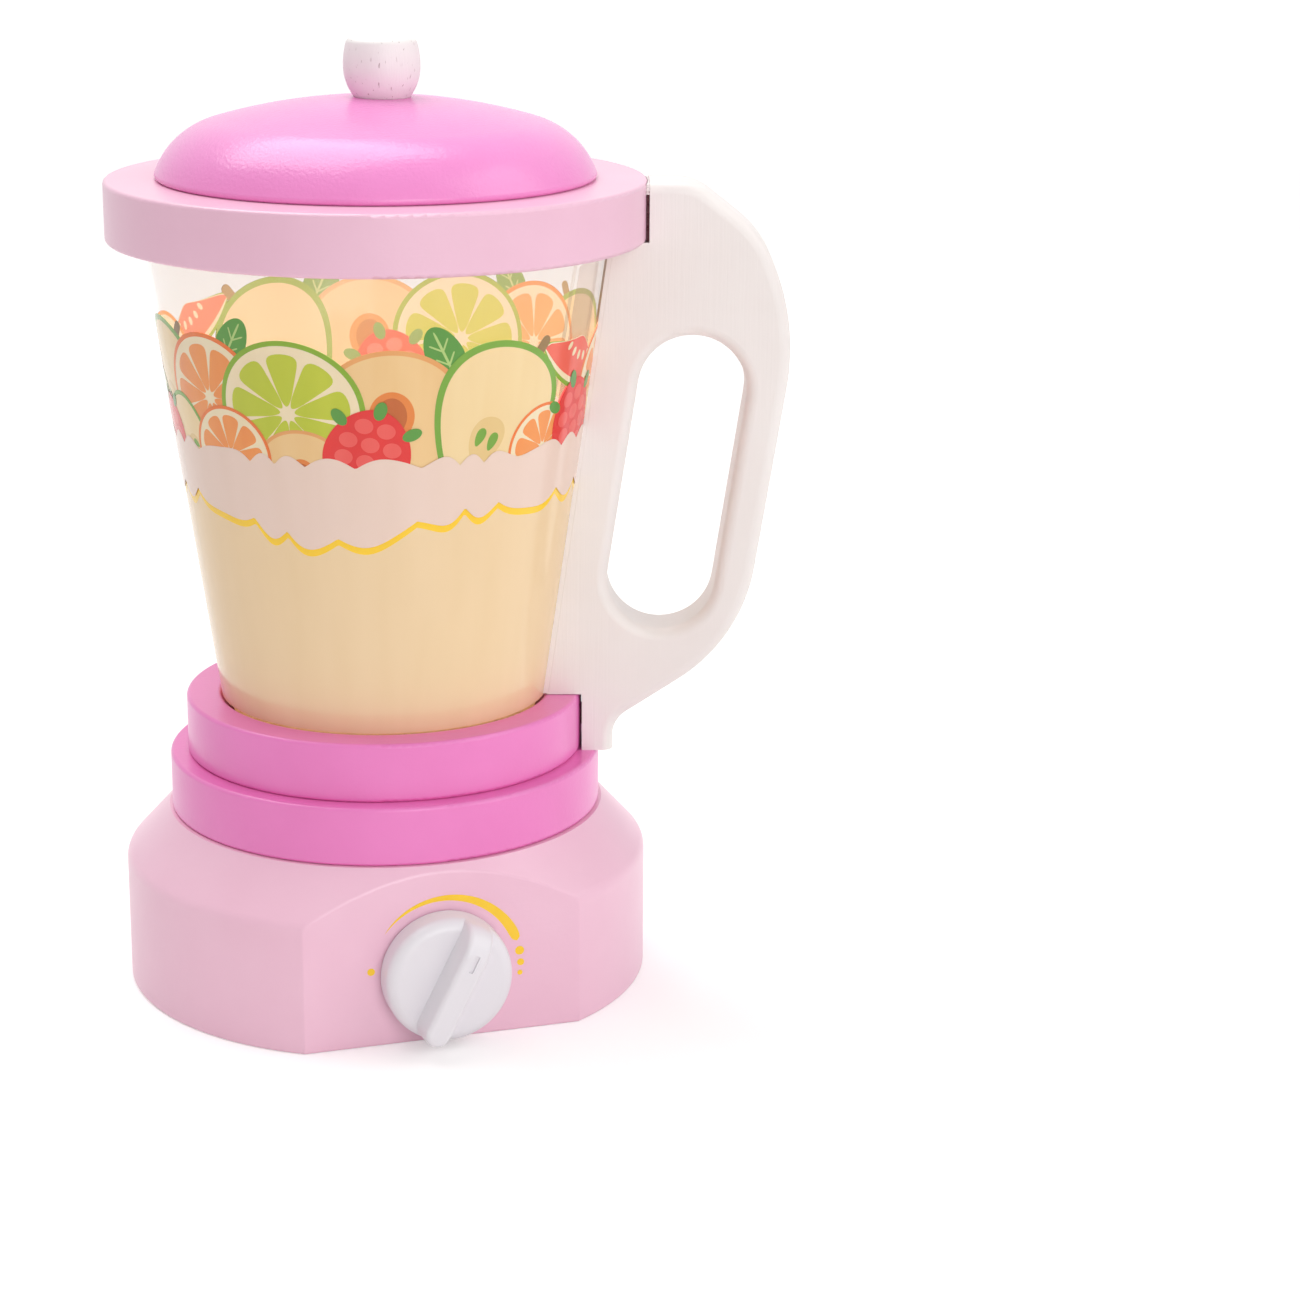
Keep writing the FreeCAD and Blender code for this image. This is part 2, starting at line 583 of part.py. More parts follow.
# ---- lid -------------------------------------------------------------------------
def lid_dome():
    """Turned dome: a rounded shoulder that runs into a shallow crown."""
    shoulder = V(LID_R - LID_SHOULDER_R, 0, Z_COLLAR_TOP - LID_SHOULDER_DROP)
    drop = Z_LID_TOP - shoulder.z
    crown_r = (shoulder.x ** 2 + drop ** 2 - LID_SHOULDER_R ** 2) / (2 * (drop - LID_SHOULDER_R))
    crown = V(0, 0, Z_LID_TOP - crown_r)
    join = math.atan2(shoulder.z - crown.z, shoulder.x)
    start = math.asin(LID_SHOULDER_DROP / LID_SHOULDER_R)
    seat = V(0, 0, Z_COLLAR_TOP)
    rim = shoulder + V(LID_SHOULDER_R * math.cos(start), 0, LID_SHOULDER_DROP)
    profile = Part.Wire([
        Part.makeLine(seat, rim),
        arc(shoulder, LID_SHOULDER_R, start, join),
        arc(crown, crown_r, join, 0.5 * math.pi),
        Part.makeLine(V(0, 0, Z_LID_TOP), seat)])
    dome = Part.Face(profile).revolve(V(0, 0, 0), Z_AXIS, 360)
    dome = round_edges(dome, LID_EDGE_R, lambda e: e.Closed and abs(middle_of(e).z - Z_COLLAR_TOP) < 1e-4)
    knob_seat = rod(KNOB_FOOT_R + KNOB_SEAT_CLEAR, Z_KNOB, Z_LID_TOP + 1, KNOB_OFF)
    return less(dome, knob_seat, lid_screw_hole())


def lid_plug():
    """Disc under the lid that keeps it in the collar."""
    r = COLLAR_BORE_R - LID_PLUG_CLEAR
    plug = turned([
        (0, Z_PLUG, 0), (r, Z_PLUG, LID_PLUG_EDGE_R), (r, Z_COLLAR_TOP, 0), (0, Z_COLLAR_TOP, 0)])
    return less(plug, lid_screw_hole())


def lid_knob():
    """Barrel-shaped knob with a rounded top."""
    foot_inset = KNOB_R - KNOB_FOOT_R
    low_r = cap_radius(KNOB_WIDEST_H, foot_inset)
    shoulder_rise = KNOB_SHOULDER_H - KNOB_WIDEST_H
    high_r = cap_radius(shoulder_rise, KNOB_R - KNOB_SHOULDER_R)
    crown_r = cap_radius(KNOB_SHOULDER_R, KNOB_H - KNOB_SHOULDER_H)
    z_widest = Z_KNOB + KNOB_WIDEST_H
    foot = V(0, 0, Z_KNOB)
    top = V(0, 0, Z_KNOB + KNOB_H)
    profile = Part.Wire([
        Part.makeLine(foot, foot + V(KNOB_FOOT_R, 0, 0)),
        arc(V(KNOB_R - low_r, 0, z_widest), low_r, -math.asin(KNOB_WIDEST_H / low_r), 0),
        arc(V(KNOB_R - high_r, 0, z_widest), high_r, 0, math.asin(shoulder_rise / high_r)),
        arc(top - V(0, 0, crown_r), crown_r, math.acos(KNOB_SHOULDER_R / crown_r), 0.5 * math.pi),
        Part.makeLine(top, foot)])
    knob = Part.Face(profile).revolve(V(0, 0, 0), Z_AXIS, 360)
    z_shoulder = Z_KNOB + KNOB_SHOULDER_H
    knob = round_edges(knob, KNOB_EDGE_R, lambda e: e.Closed and abs(middle_of(e).z - z_shoulder) < 1e-4)
    knob.translate(V(KNOB_OFF, 0, 0))
    return less(knob, lid_screw_hole())


def lid_screw_length():
    """From the plug's underside to the screw's end in the knob."""
    return Z_KNOB - Z_PLUG + LID_SCREW_IN_KNOB


def lid_screw_hole():
    """Hole through plug and dome into the knob."""
    hole = screw_hole(LID_SCREW_R, LID_SCREW_HEAD_R, lid_screw_length())
    hole.translate(V(KNOB_OFF, 0, Z_PLUG))
    return hole


def lid_screw():
    """Screw that holds plug, dome and knob together."""
    screw = countersunk_screw(LID_SCREW_R, LID_SCREW_HEAD_R, lid_screw_length())
    screw.translate(V(KNOB_OFF, 0, Z_PLUG))
    return screw


# ---- dial and click work ----------------------------------------------------------
def shaft_section(r, d0, d1, gap=0.0):
    """Shaft with its flat, or the hole for it, on the dial's axis."""
    flat_z = DIAL_Z + r - SHAFT_FLAT + gap
    cut = box(-BOUND, BOUND, -BOUND, BOUND, flat_z, BOUND)
    return less(dial_rod(r + gap, d0, d1), cut)


def dial_knob():
    """Moulded dial with a grip bar, hollow behind round a hub."""
    face_d = DIAL_GAP + DIAL_T
    disc = turned([
        (0, 0, 0), (DIAL_R, 0, 0), (DIAL_R, DIAL_T, DIAL_RIM_R), (0, DIAL_T, 0)])
    cavity_depth = DIAL_T - DIAL_SKIN
    cavity = less(rod(DIAL_R - DIAL_SKIN, -1, cavity_depth), rod(HUB_R, -2, BOUND))
    dial = less(union(disc, grip_bar()), cavity, pointer_mark())
    dial = on_dial_axis(dial, DIAL_GAP)
    dial.rotate(V(0, 0, DIAL_Z), V(0, 1, 0), DIAL_TURN)
    return less(dial, shaft_section(SHAFT_R, DIAL_GAP - 1, SHAFT_IN_HUB + GLUE, GLUE))


def grip_bar():
    """Tapered bar across the dial's face: round at its tail, falling to the rim at its pointer end."""
    top = DIAL_T + BAR_H
    foot = DIAL_T - DIAL_RIM_R
    draft = 0.5 * (BAR_FOOT_W - BAR_TOP_W) / BAR_H
    half_top = 0.5 * BAR_TOP_W
    half_foot = half_top + draft * (top - foot)
    tail_y = 0.5 * BAR_FOOT_W - BAR_TAIL_REACH
    section = rounded_wire([
        (-half_foot, foot, 0), (half_foot, foot, 0), (half_top, top, 0), (-half_top, top, 0)], tail_y)
    bar = Part.Face(section).extrude(V(0, DIAL_R - tail_y, 0))
    tail = turned([(0, foot, 0), (half_foot, foot, 0), (half_top, top, 0), (0, top, 0)])
    tail.translate(V(0, tail_y, 0))
    fall = turned([(0, 0, 0), (DIAL_R, 0, 0), (DIAL_R, top, POINTER_FALL_R), (0, top, 0)])
    beyond = less(box(-DIAL_R, DIAL_R, 0, BOUND, -1, BOUND), fall)

    def is_crest(edge):
        """True for the rim of the bar's top, down to the foot at its pointer end."""
        at = middle_of(edge)
        on_side = abs(abs(at.x) - half_top - draft * (top - at.z)) < 1e-4
        on_tail_rim = at.y < tail_y and abs(at.z - top) < 1e-4
        return on_tail_rim or (on_side and at.y > tail_y + 1e-3 and at.z > foot + 1e-3)

    return round_edges(less(union(bar, tail), beyond), BAR_EDGE_R, is_crest)


def pointer_mark():
    """Groove near the pointer end of the bar."""
    top = DIAL_T + BAR_H
    y1 = DIAL_R - MARK_FROM_RIM
    return box(-0.5 * MARK_W, 0.5 * MARK_W, y1 - MARK_L, y1, top - MARK_DEPTH, top + 1)


def dial_shaft():
    """Shaft from the dial's hub to the click wheel."""
    shaft = shaft_section(SHAFT_R, WHEEL_BACK, SHAFT_IN_HUB)
    bore = dial_rod(DIAL_SCREW_R + SCREW_CLEAR, WHEEL_BACK - 1, WHEEL_BACK + DIAL_SCREW_LENGTH + GLUE)
    return less(shaft, bore)


def dial_bush():
    """Plain bush for the shaft, pressed into the front wall."""
    return less(dial_rod(BUSH_R, -FRONT_WALL_T, 0), dial_rod(SHAFT_R + RUNNING, -BOUND, BOUND))


def thrust_washer():
    """Washer between the front wall and the click wheel."""
    d0 = -FRONT_WALL_T - WASHER_T
    return less(dial_rod(WASHER_R, d0, -FRONT_WALL_T), shaft_section(SHAFT_R, -BOUND, BOUND, RUNNING))


def click_wheel():
    """Wheel with a round notch for each click."""
    wheel = dial_rod(WHEEL_R, WHEEL_BACK, WHEEL_BACK + WHEEL_T)
    notches = []
    for i in range(CLICKS):
        notch = dial_rod(NOTCH_R, WHEEL_BACK - 1, WHEEL_BACK + WHEEL_T + 1)
        notch.translate(V(0, 0, WHEEL_R + NOTCH_OUT))
        notch.rotate(V(0, 0, DIAL_Z), V(0, 1, 0), 360.0 * i / CLICKS)
        notches.append(notch)
    return less(wheel, shaft_section(SHAFT_R, -BOUND, BOUND, RUNNING), *notches)


def dial_screw():
    """Screw in the shaft's end that keeps wheel and washer on."""
    screw = cylinder_head_screw(DIAL_SCREW_R, DIAL_SCREW_HEAD_R, DIAL_SCREW_HEAD_T, DIAL_SCREW_LENGTH)
    return on_dial_axis(screw, WHEEL_BACK)


def spring_screw_place():
    """Axis of the spring's screw, in the middle of the strip's seat."""
    return (-SPRING_REACH + 0.5 * SPRING_SEAT_L, -FLAT_DIST - WHEEL_BACK - 0.5 * WHEEL_T)


def spring_screw_z():
    """Underside of the strip, where the spring's screw bears."""
    return HOLLOW_CEILING_Z - SPRING_T


def click_spring():
    """Strip under the hollow's ceiling, bent down to a nib in the wheel's top notch."""
    nib_z = DIAL_Z + WHEEL_R + NOTCH_OUT
    nib_r = NOTCH_R - NIB_CLEAR
    y0 = -FLAT_DIST - WHEEL_BACK - WHEEL_T
    upper = [
        (-SPRING_REACH, HOLLOW_CEILING_Z), (-SPRING_REACH + SPRING_SEAT_L, HOLLOW_CEILING_Z),
        (-nib_r, nib_z + SPRING_T), (nib_r, nib_z + SPRING_T)]
    lower = [(x, z - SPRING_T) for x, z in reversed(upper)]
    outline = Part.makePolygon([V(x, y0, z) for x, z in upper + lower + upper[:1]])
    strip = Part.Face(outline).extrude(V(0, WHEEL_T, 0))
    nib = Part.makeCylinder(nib_r, WHEEL_T, V(0, y0, nib_z), V(0, 1, 0))
    nib = nib.common(box(-BOUND, BOUND, -BOUND, BOUND, -BOUND, nib_z + 0.5 * SPRING_T))
    hole = rod(SPRING_SCREW_R + SCREW_CLEAR, 0, BOUND)
    return less(union(strip, nib), *at_each(hole, [spring_screw_place()]))


def spring_screw():
    """Screw that holds the click spring to the ceiling of the hollow."""
    screw = cylinder_head_screw(
        SPRING_SCREW_R, SPRING_SCREW_HEAD_R, SPRING_SCREW_HEAD_T, SPRING_SCREW_LENGTH - SCREW_CLEAR)
    return at_each(screw, [spring_screw_place()], spring_screw_z())[0]


# ---- assembly ---------------------------------------------------------------------
FIXED = [
    base_block, base_disc, base_dowels, bottom_cover, cover_screws, dial_bush, click_spring, spring_screw,
    centre_peg, dial_knob, dial_shaft, thrust_washer, click_wheel, dial_screw]
ON_JUG = [
    jug_floor, jug_cup, jug_ring, jug_collar, jug_handle, handle_dowels,
    lid_dome, lid_plug, lid_knob, lid_screw]


def main():
    """Build every piece and write it under its own name."""
    os.makedirs("parts", exist_ok=True)
    for build in FIXED + ON_JUG:
        piece = build()
        if build in ON_JUG:
            piece.rotate(V(0, 0, 0), Z_AXIS, JUG_TURN)
        piece.exportStep("parts/" + build.__name__ + ".step")
        print("%-16s solids %d  valid %s  volume %.1f" % (
            build.__name__, len(piece.Solids), piece.isValid(), piece.Volume))


main()
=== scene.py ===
"""Looks of a painted wooden toy blender with a clear printed cup and a moulded dial.

Metres, +Z up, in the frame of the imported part. Sizes below are written in millimetres
and turned to metres where points are made. The dial looks along -Y.
"""

import logging
import math
from dataclasses import dataclass
from enum import Enum
from typing import Callable, Optional

import bpy
import numpy as np
from mathutils import Matrix, Vector


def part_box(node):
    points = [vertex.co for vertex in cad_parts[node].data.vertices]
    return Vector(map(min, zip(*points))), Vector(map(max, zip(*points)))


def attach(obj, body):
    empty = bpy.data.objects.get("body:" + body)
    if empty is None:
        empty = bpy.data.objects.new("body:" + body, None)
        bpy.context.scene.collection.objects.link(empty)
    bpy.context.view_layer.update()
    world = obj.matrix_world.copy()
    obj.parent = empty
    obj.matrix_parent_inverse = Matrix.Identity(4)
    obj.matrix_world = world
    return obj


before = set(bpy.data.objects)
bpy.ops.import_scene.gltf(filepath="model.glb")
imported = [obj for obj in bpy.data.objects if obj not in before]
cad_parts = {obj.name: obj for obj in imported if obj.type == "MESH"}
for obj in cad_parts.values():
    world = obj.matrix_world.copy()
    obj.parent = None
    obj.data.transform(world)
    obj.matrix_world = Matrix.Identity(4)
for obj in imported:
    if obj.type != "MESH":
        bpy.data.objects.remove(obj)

Tree = bpy.types.NodeTree
Socket = bpy.types.NodeSocket
MM = 0.001
CREASE_DEG = 40.0
WARM_WHITE = "F4E6DA"
log = logging.getLogger("toy_blender")


# ---- small tools ---------------------------------------------------------------------
def channels(hex_colour: str) -> np.ndarray:
    """Red, green and blue of an sRGB hex colour, from 0 to 255."""
    return np.array([int(hex_colour[i:i + 2], 16) for i in (0, 2, 4)])


def linear(hex_colour: str) -> tuple[float, float, float, float]:
    """Turns an sRGB hex colour into linear RGBA.

    Args:
        hex_colour: six hex digits.
    Returns:
        Red, green, blue and an alpha of 1.
    """
    values = channels(hex_colour) / 255
    curve = np.where(values > 0.04045, ((values + 0.055) / 1.055) ** 2.4, values / 12.92)
    return (*curve.tolist(), 1.0)


def paler(hex_colour: str, share: float) -> str:
    """Mixes an sRGB hex colour with warm white by share."""
    mixed = channels(hex_colour) * (1 - share) + channels(WARM_WHITE) * share
    return "%02X%02X%02X" % tuple(int(round(v)) for v in mixed)


def feed(tree: Tree, node: bpy.types.Node, inputs: dict) -> None:
    """Sets a node's input sockets.

    Args:
        tree: the node's tree.
        node: the node.
        inputs: for each socket, by name or number, a plain value or the output that feeds it.
    """
    for key, value in inputs.items():
        if isinstance(value, Socket):
            tree.links.new(value, node.inputs[key])
        else:
            node.inputs[key].default_value = value


def add(tree: Tree, kind: str, inputs: Optional[dict] = None, **settings) -> bpy.types.Node:
    """Adds a node with its settings and links.

    Args:
        tree: the material's or world's tree.
        kind: Blender's name of the node's type.
        inputs: what each input socket gets, as for feed.
        settings: the node's own properties.
    Returns:
        The new node.
    """
    made = tree.nodes.new(kind)
    for name, value in settings.items():
        setattr(made, name, value)
    feed(tree, made, inputs or {})
    return made


def made_object(name: str, points: np.ndarray, faces: list) -> bpy.types.Object:
    """Makes an object at the origin, shaded smooth but for edges that turn by CREASE_DEG.

    Args:
        name: the piece's name.
        points: array of points (x, y, z) in metres.
        faces: for each face, the numbers of its points.
    Returns:
        The new object.
    """
    mesh = bpy.data.meshes.new(name)
    mesh.from_pydata(points.tolist(), [], faces)
    mesh.shade_smooth()
    mesh.set_sharp_from_angle(angle=math.radians(CREASE_DEG))
    made = bpy.data.objects.new(name, mesh)
    bpy.context.scene.collection.objects.link(made)
    return made


def shell(name: str, rings: np.ndarray, start: np.ndarray, end: np.ndarray) -> bpy.types.Object:
    """Makes a closed surface from rings of points.

    Ring i is joined to ring i + 1 by quads all the way round, and a pole closes each end by
    a fan. The whole is turned right side out by the sign of its volume.

    Args:
        name: the piece's name.
        rings: array of n rings by m points by 3, in millimetres.
        start: pole before the first ring.
        end: pole after the last ring.
    Returns:
        The new object, at the origin.
    """
    n, m = rings.shape[:2]
    index = np.arange(n * m).reshape(n, m)
    upper, lower = index[:-1], index[1:]
    quads = np.stack([upper, lower, np.roll(lower, -1, 1), np.roll(upper, -1, 1)], -1)
    quads = quads.reshape(-1, 4)
    points = np.vstack([rings.reshape(-1, 3), start, end])
    first = np.stack([np.full(m, n * m), index[0], np.roll(index[0], -1)], -1)
    last = np.stack([np.full(m, n * m + 1), np.roll(index[-1], -1), index[-1]], -1)
    triangles = np.vstack([first, last])
    corners = np.vstack([quads[:, [0, 1, 2]], quads[:, [0, 2, 3]], triangles])
    a, b, c = (points[corners[:, i]] for i in range(3))
    if np.einsum("ij,ij->", a, np.cross(b, c)) < 0:
        quads, triangles = quads[:, ::-1], triangles[:, ::-1]
    return made_object(name, points * MM, quads.tolist() + triangles.tolist())


def put(piece: bpy.types.Object, body: str, finish: "Finish") -> None:
    """Dresses a new piece, lets it ride on its body and reports it.

    Args:
        piece: the new object.
        body: the body that carries it.
        finish: what it is dressed in.
    """
    piece.data.materials.append(finish.material())
    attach(piece, body)
    log.info("%s rides on %s, %d faces", piece.name, body, len(piece.data.polygons))


def dress(finish: "Finish", *nodes: str) -> None:
    """Gives some of the part's own solids one finish.

    Args:
        finish: what they are dressed in.
        nodes: the solids' names.
    """
    material = finish.material()
    for node in nodes:
        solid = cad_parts[node]
        solid.data.materials.clear()
        solid.data.materials.append(material)
        log.info("%s has %s", node, material.name)


def corner_mm(node: str, high: bool) -> np.ndarray:
    """Lowest or highest corner of a node's box, in millimetres."""
    return np.array(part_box(node)[1 if high else 0]) / MM


# ---- finishes ------------------------------------------------------------------------
class Grain(Enum):
    """Axis along which a pattern is drawn out."""
    ALONG_X = 0
    ALONG_Y = 1
    ALONG_Z = 2


@dataclass(frozen=True)
class Pattern:
    """Soft random pattern with a real size: the width and, where it is drawn out, the length.

    detail is the number of finer layers in it, and share is the strength of each over the
    next coarser one.
    """
    size_mm: float
    detail: float
    share: float = 0.5
    length_mm: Optional[float] = None
    grain: Grain = Grain.ALONG_Z

    def value(self, tree: Tree, place: Socket) -> Socket:
        """Builds the pattern.

        Args:
            tree: the material's tree.
            place: the object's own coordinates.
        Returns:
            Its value, about 0 to 1.
        """
        scale = 1 / (self.size_mm * MM)
        if self.length_mm is not None:
            stretch = [scale] * 3
            stretch[self.grain.value] = 1 / (self.length_mm * MM)
            place = add(tree, "ShaderNodeMapping", {"Vector": place, "Scale": stretch}).outputs[0]
            scale = 1.0
        noise = add(tree, "ShaderNodeTexNoise", {
            "Vector": place, "Scale": scale, "Detail": self.detail, "Roughness": self.share})
        return noise.outputs[0]


@dataclass(frozen=True)
class Finish:
    """What all finishes share: a name, and one shader that reads the object's coordinates."""
    name: str

    def material(self) -> bpy.types.Material:
        """Builds the finish.

        Returns:
            The new material.
        """
        made = bpy.data.materials.new(self.name)
        made.use_nodes = True
        tree = made.node_tree
        place = add(tree, "ShaderNodeTexCoord").outputs["Object"]
        feed(tree, tree.nodes["Principled BSDF"], self.sockets(tree, place))
        return made

    def sockets(self, tree: Tree, place: Socket) -> dict:
        """Works out what the shader gets.

        Args:
            tree: the material's tree.
            place: the object's own coordinates.
        Returns:
            For each socket, a plain value or the output that feeds it.
        """
        raise NotImplementedError

    def two_tone(self, tree: Tree, value: Socket, low: float, high: float,
                 first: str | Socket, second: str) -> tuple[Socket, Socket]:
        """Colour that runs from the first to the second as a pattern goes from low to high.

        Args:
            tree: the material's tree.
            value: the pattern's value.
            low: value up to which the first colour is plain.
            high: value from which the second colour is plain.
            first: hex colour, or the output that gives it.
            second: hex colour.
        Returns:
            The colour, and the second colour's share in it.
        """
        share = add(tree, "ShaderNodeMapRange", {
            "Value": value, "From Min": low, "From Max": high}).outputs["Result"]
        start = linear(first) if isinstance(first, str) else first
        mix = add(tree, "ShaderNodeMix", {0: share, 6: start, 7: linear(second)}, data_type="RGBA")
        return mix.outputs[2], share

    def relief(self, tree: Tree, *layers: tuple[Socket, float]) -> Socket:
        """Relief from patterns laid over each other.

        Args:
            tree: the material's tree.
            layers: for each pattern its value and its height in millimetres; a height below
                zero sinks it.
        Returns:
            The bent normal.
        """
        normal = None
        for value, height_mm in layers:
            inputs = {"Height": value, "Strength": 1.0, "Distance": abs(height_mm) * MM}
            if normal is not None:
                inputs["Normal"] = normal
            normal = add(tree, "ShaderNodeBump", inputs, invert=height_mm < 0).outputs[0]
        return normal


@dataclass(frozen=True)
class PaintedTimber(Finish):
    """Water-based acrylic paint, brushed and sprayed on sanded lime or rubberwood.

    It gives the eye a soft broad gloss, a faint orange peel, and the timber's grain showing
    through as fine shallow furrows; pores that the paint didn't fill are small dark pits.
    """
    colour: str
    shade: str
    grain: Grain = Grain.ALONG_X
    furrow_mm: float = 0.9
    furrow_length_mm: float = 16.0
    furrow_depth_mm: float = 0.03
    peel_mm: float = 1.4
    peel_depth_mm: float = 0.012
    mottle_mm: float = 25.0
    pore_mm: float = 0.55
    pore_length_mm: float = 2.5
    pore_share: float = 0.0
    pore_depth_mm: float = 0.12
    pore_colour: str = "8C7A76"
    roughness: float = 0.31

    def sockets(self, tree: Tree, place: Socket) -> dict:
        """Mottled colour, with furrows, peel and pores in relief.

        Args:
            tree: the material's tree.
            place: the object's own coordinates.
        Returns:
            The shader's inputs.
        """
        furrows = Pattern(self.furrow_mm, 3.0, 0.6, self.furrow_length_mm, self.grain)
        layers = [
            (furrows.value(tree, place), self.furrow_depth_mm),
            (Pattern(self.peel_mm, 2.0).value(tree, place), self.peel_depth_mm)]
        mottle = Pattern(self.mottle_mm, 3.0).value(tree, place)
        colour, _ = self.two_tone(tree, mottle, 0.35, 1.1, self.colour, self.shade)
        if self.pore_share > 0:
            # The pattern lies about 0.5 and hardly ever passes 0.72, so a higher edge leaves fewer pores.
            cells = Pattern(self.pore_mm, 1.0, 0.5, self.pore_length_mm, self.grain)
            edge = 0.5 + 0.22 * (1 - self.pore_share)
            colour, pores = self.two_tone(
                tree, cells.value(tree, place), edge, edge + 0.05, colour, self.pore_colour)
            layers.append((pores, -self.pore_depth_mm))
        return {"Base Color": colour, "Normal": self.relief(tree, *layers),
                "Roughness": self.roughness, "IOR": 1.56}


@dataclass(frozen=True)
class SandedTimber(Finish):
    """Bare beech or birch ply, sanded: dull, with brown grain lines along one axis."""
    colour: str = "DDBD94"
    line: str = "B98F62"
    grain: Grain = Grain.ALONG_X
    line_mm: float = 1.6
    roughness: float = 0.62
    line_slenderness: float = 30.0
    line_depth_mm: float = 0.05

    def sockets(self, tree: Tree, place: Socket) -> dict:
        """Grain lines drawn out along the grain, in colour and in relief.

        Args:
            tree: the material's tree.
            place: the object's own coordinates.
        Returns:
            The shader's inputs.
        """
        length = self.line_slenderness * self.line_mm
        lines = Pattern(self.line_mm, 5.0, 0.65, length, self.grain).value(tree, place)
        colour, _ = self.two_tone(tree, lines, 0.38, 0.72, self.colour, self.line)
        return {"Base Color": colour, "Normal": self.relief(tree, (lines, self.line_depth_mm)),
                "Roughness": self.roughness}


@dataclass(frozen=True)
class ClearSheet(Finish):
    """Clear PET sheet, rolled: nearly colourless, glossy, a little warm where it is thick."""
    colour: str = "E8C494"
    cover: float = 0.1
    roughness: float = 0.08
    wave_mm: float = 30.0
    wave_depth_mm: float = 0.1

    def sockets(self, tree: Tree, place: Socket) -> dict:
        """Slow waves in the gloss, and a low plain alpha.

        Args:
            tree: the material's tree.
            place: the object's own coordinates.
        Returns:
            The shader's inputs.
        """
        waves = Pattern(self.wave_mm, 1.0).value(tree, place)
        return {"Base Color": linear(self.colour), "Roughness": self.roughness, "IOR": 1.57,
                "Normal": self.relief(tree, (waves, self.wave_depth_mm)), "Alpha": self.cover}


@dataclass(frozen=True)
class PrintedInk(Finish):
    """Offset ink on a rolled clear sheet: flat colour, a slight unevenness, a wavy gloss and, where
    asked, a painted glow.
    """
    colour: str
    shade: str
    painted_glow: float = 0.0
    roughness: float = 0.14
    wave_mm: float = 9.0
    wave_length_mm: float = 180.0
    wave_depth_mm: float = 0.12

    def sockets(self, tree: Tree, place: Socket) -> dict:
        """Two near colours in upright waves, and a painted glow: emission in the ink's colour that stands
        in for the light coming through the sheet.

        Args:
            tree: the material's tree.
            place: the object's own coordinates.
        Returns:
            The shader's inputs.
        """
        waves = Pattern(self.wave_mm, 2.0, 0.5, self.wave_length_mm).value(tree, place)
        colour, _ = self.two_tone(tree, waves, 0.3, 0.75, self.colour, self.shade)
        # Painted light: the emission glow stands in for light that comes through the sheet from outside.
        return {"Base Color": colour, "Normal": self.relief(tree, (waves, self.wave_depth_mm)),
                "Roughness": self.roughness, "IOR": 1.5,
                "Emission Color": linear(self.colour), "Emission Strength": self.painted_glow}


@dataclass(frozen=True)
class MouldedPlastic(Finish):
    """ABS, injection moulded in a polished tool: smooth, with a faint sink waviness."""
    colour: str
    roughness: float = 0.3
    sink_mm: float = 6.0
    sink_depth_mm: float = 0.04
    scuff_mm: float = 0.8

    def sockets(self, tree: Tree, place: Socket) -> dict:
        """A plain colour over a slow ripple, with a fine scuff in the gloss.

        Args:
            tree: the material's tree.
            place: the object's own coordinates.
        Returns:
            The shader's inputs.
        """
        sink = Pattern(self.sink_mm, 2.0).value(tree, place)
        rough = add(tree, "ShaderNodeMapRange", {
            "Value": Pattern(self.scuff_mm, 3.0).value(tree, place),
            "To Min": self.roughness - 0.05, "To Max": self.roughness + 0.08}).outputs[0]
        return {"Base Color": linear(self.colour), "Roughness": rough, "IOR": 1.53,
                "Normal": self.relief(tree, (sink, self.sink_depth_mm))}


@dataclass(frozen=True)
class PlatedSteel(Finish):
    """Zinc-plated screw and spring steel: grey, bright, with fine drawn lines."""
    colour: str = "B9BABD"
    roughness: float = 0.3
    line_mm: float = 0.3
    line_length_mm: float = 4.0

    def sockets(self, tree: Tree, place: Socket) -> dict:
        """Metal with a roughness that varies along drawn lines.

        Args:
            tree: the material's tree.
            place: the object's own coordinates.
        Returns:
            The shader's inputs.
        """
        lines = Pattern(self.line_mm, 2.0, 0.5, self.line_length_mm).value(tree, place)
        rough = add(tree, "ShaderNodeMapRange", {
            "Value": lines, "To Min": self.roughness - 0.08,
            "To Max": self.roughness + 0.1}).outputs[0]
        return {"Base Color": linear(self.colour), "Metallic": 1.0, "Roughness": rough}


DARK_GLUE = SandedTimber(
    "dried_glue_on_raw_edge", "5A2A30", "3A1A20", Grain.ALONG_Z, line_mm=0.8, roughness=0.7)
LIGHT_PINK = PaintedTimber("light_pink_paint", "F3C4D8", "EDB9CF", peel_depth_mm=0.03)
# The collar's paint is the light pink a few levels darker: partly its own paint, partly painted shade for
# the dimmer light on the collar.
COLLAR_PINK_SHADED = PaintedTimber("collar_pink_shaded_paint", "EEBFD4", "E7B5CB", peel_depth_mm=0.03)
HOT_PINK = PaintedTimber(
    "hot_pink_paint", "EF81C6", "E775BB", peel_depth_mm=0.04, roughness=0.28)
# The lid's paint is the hot pink made lighter: partly its own paint, partly painted light for the top
# light and highlight the dome faces.
LID_PINK_LIT = PaintedTimber(
    "lid_pink_lit_paint", "F08FCE", "E984C5", peel_mm=0.9, peel_depth_mm=0.1, roughness=0.23)
WHITE_BOARD = PaintedTimber(
    "white_board_paint", "F0E9E6", "EAE1DD", Grain.ALONG_Z, furrow_mm=0.7,
    furrow_length_mm=22.0, furrow_depth_mm=0.05, roughness=0.42)
WHITE_KNOB = PaintedTimber(
    "white_knob_paint", "F3EEEC", "EDE6E3", Grain.ALONG_Z, furrow_mm=0.6,
    furrow_length_mm=5.0, furrow_depth_mm=0.06, pore_share=0.1, pore_depth_mm=0.08,
    pore_colour="C3B4B2", roughness=0.45)


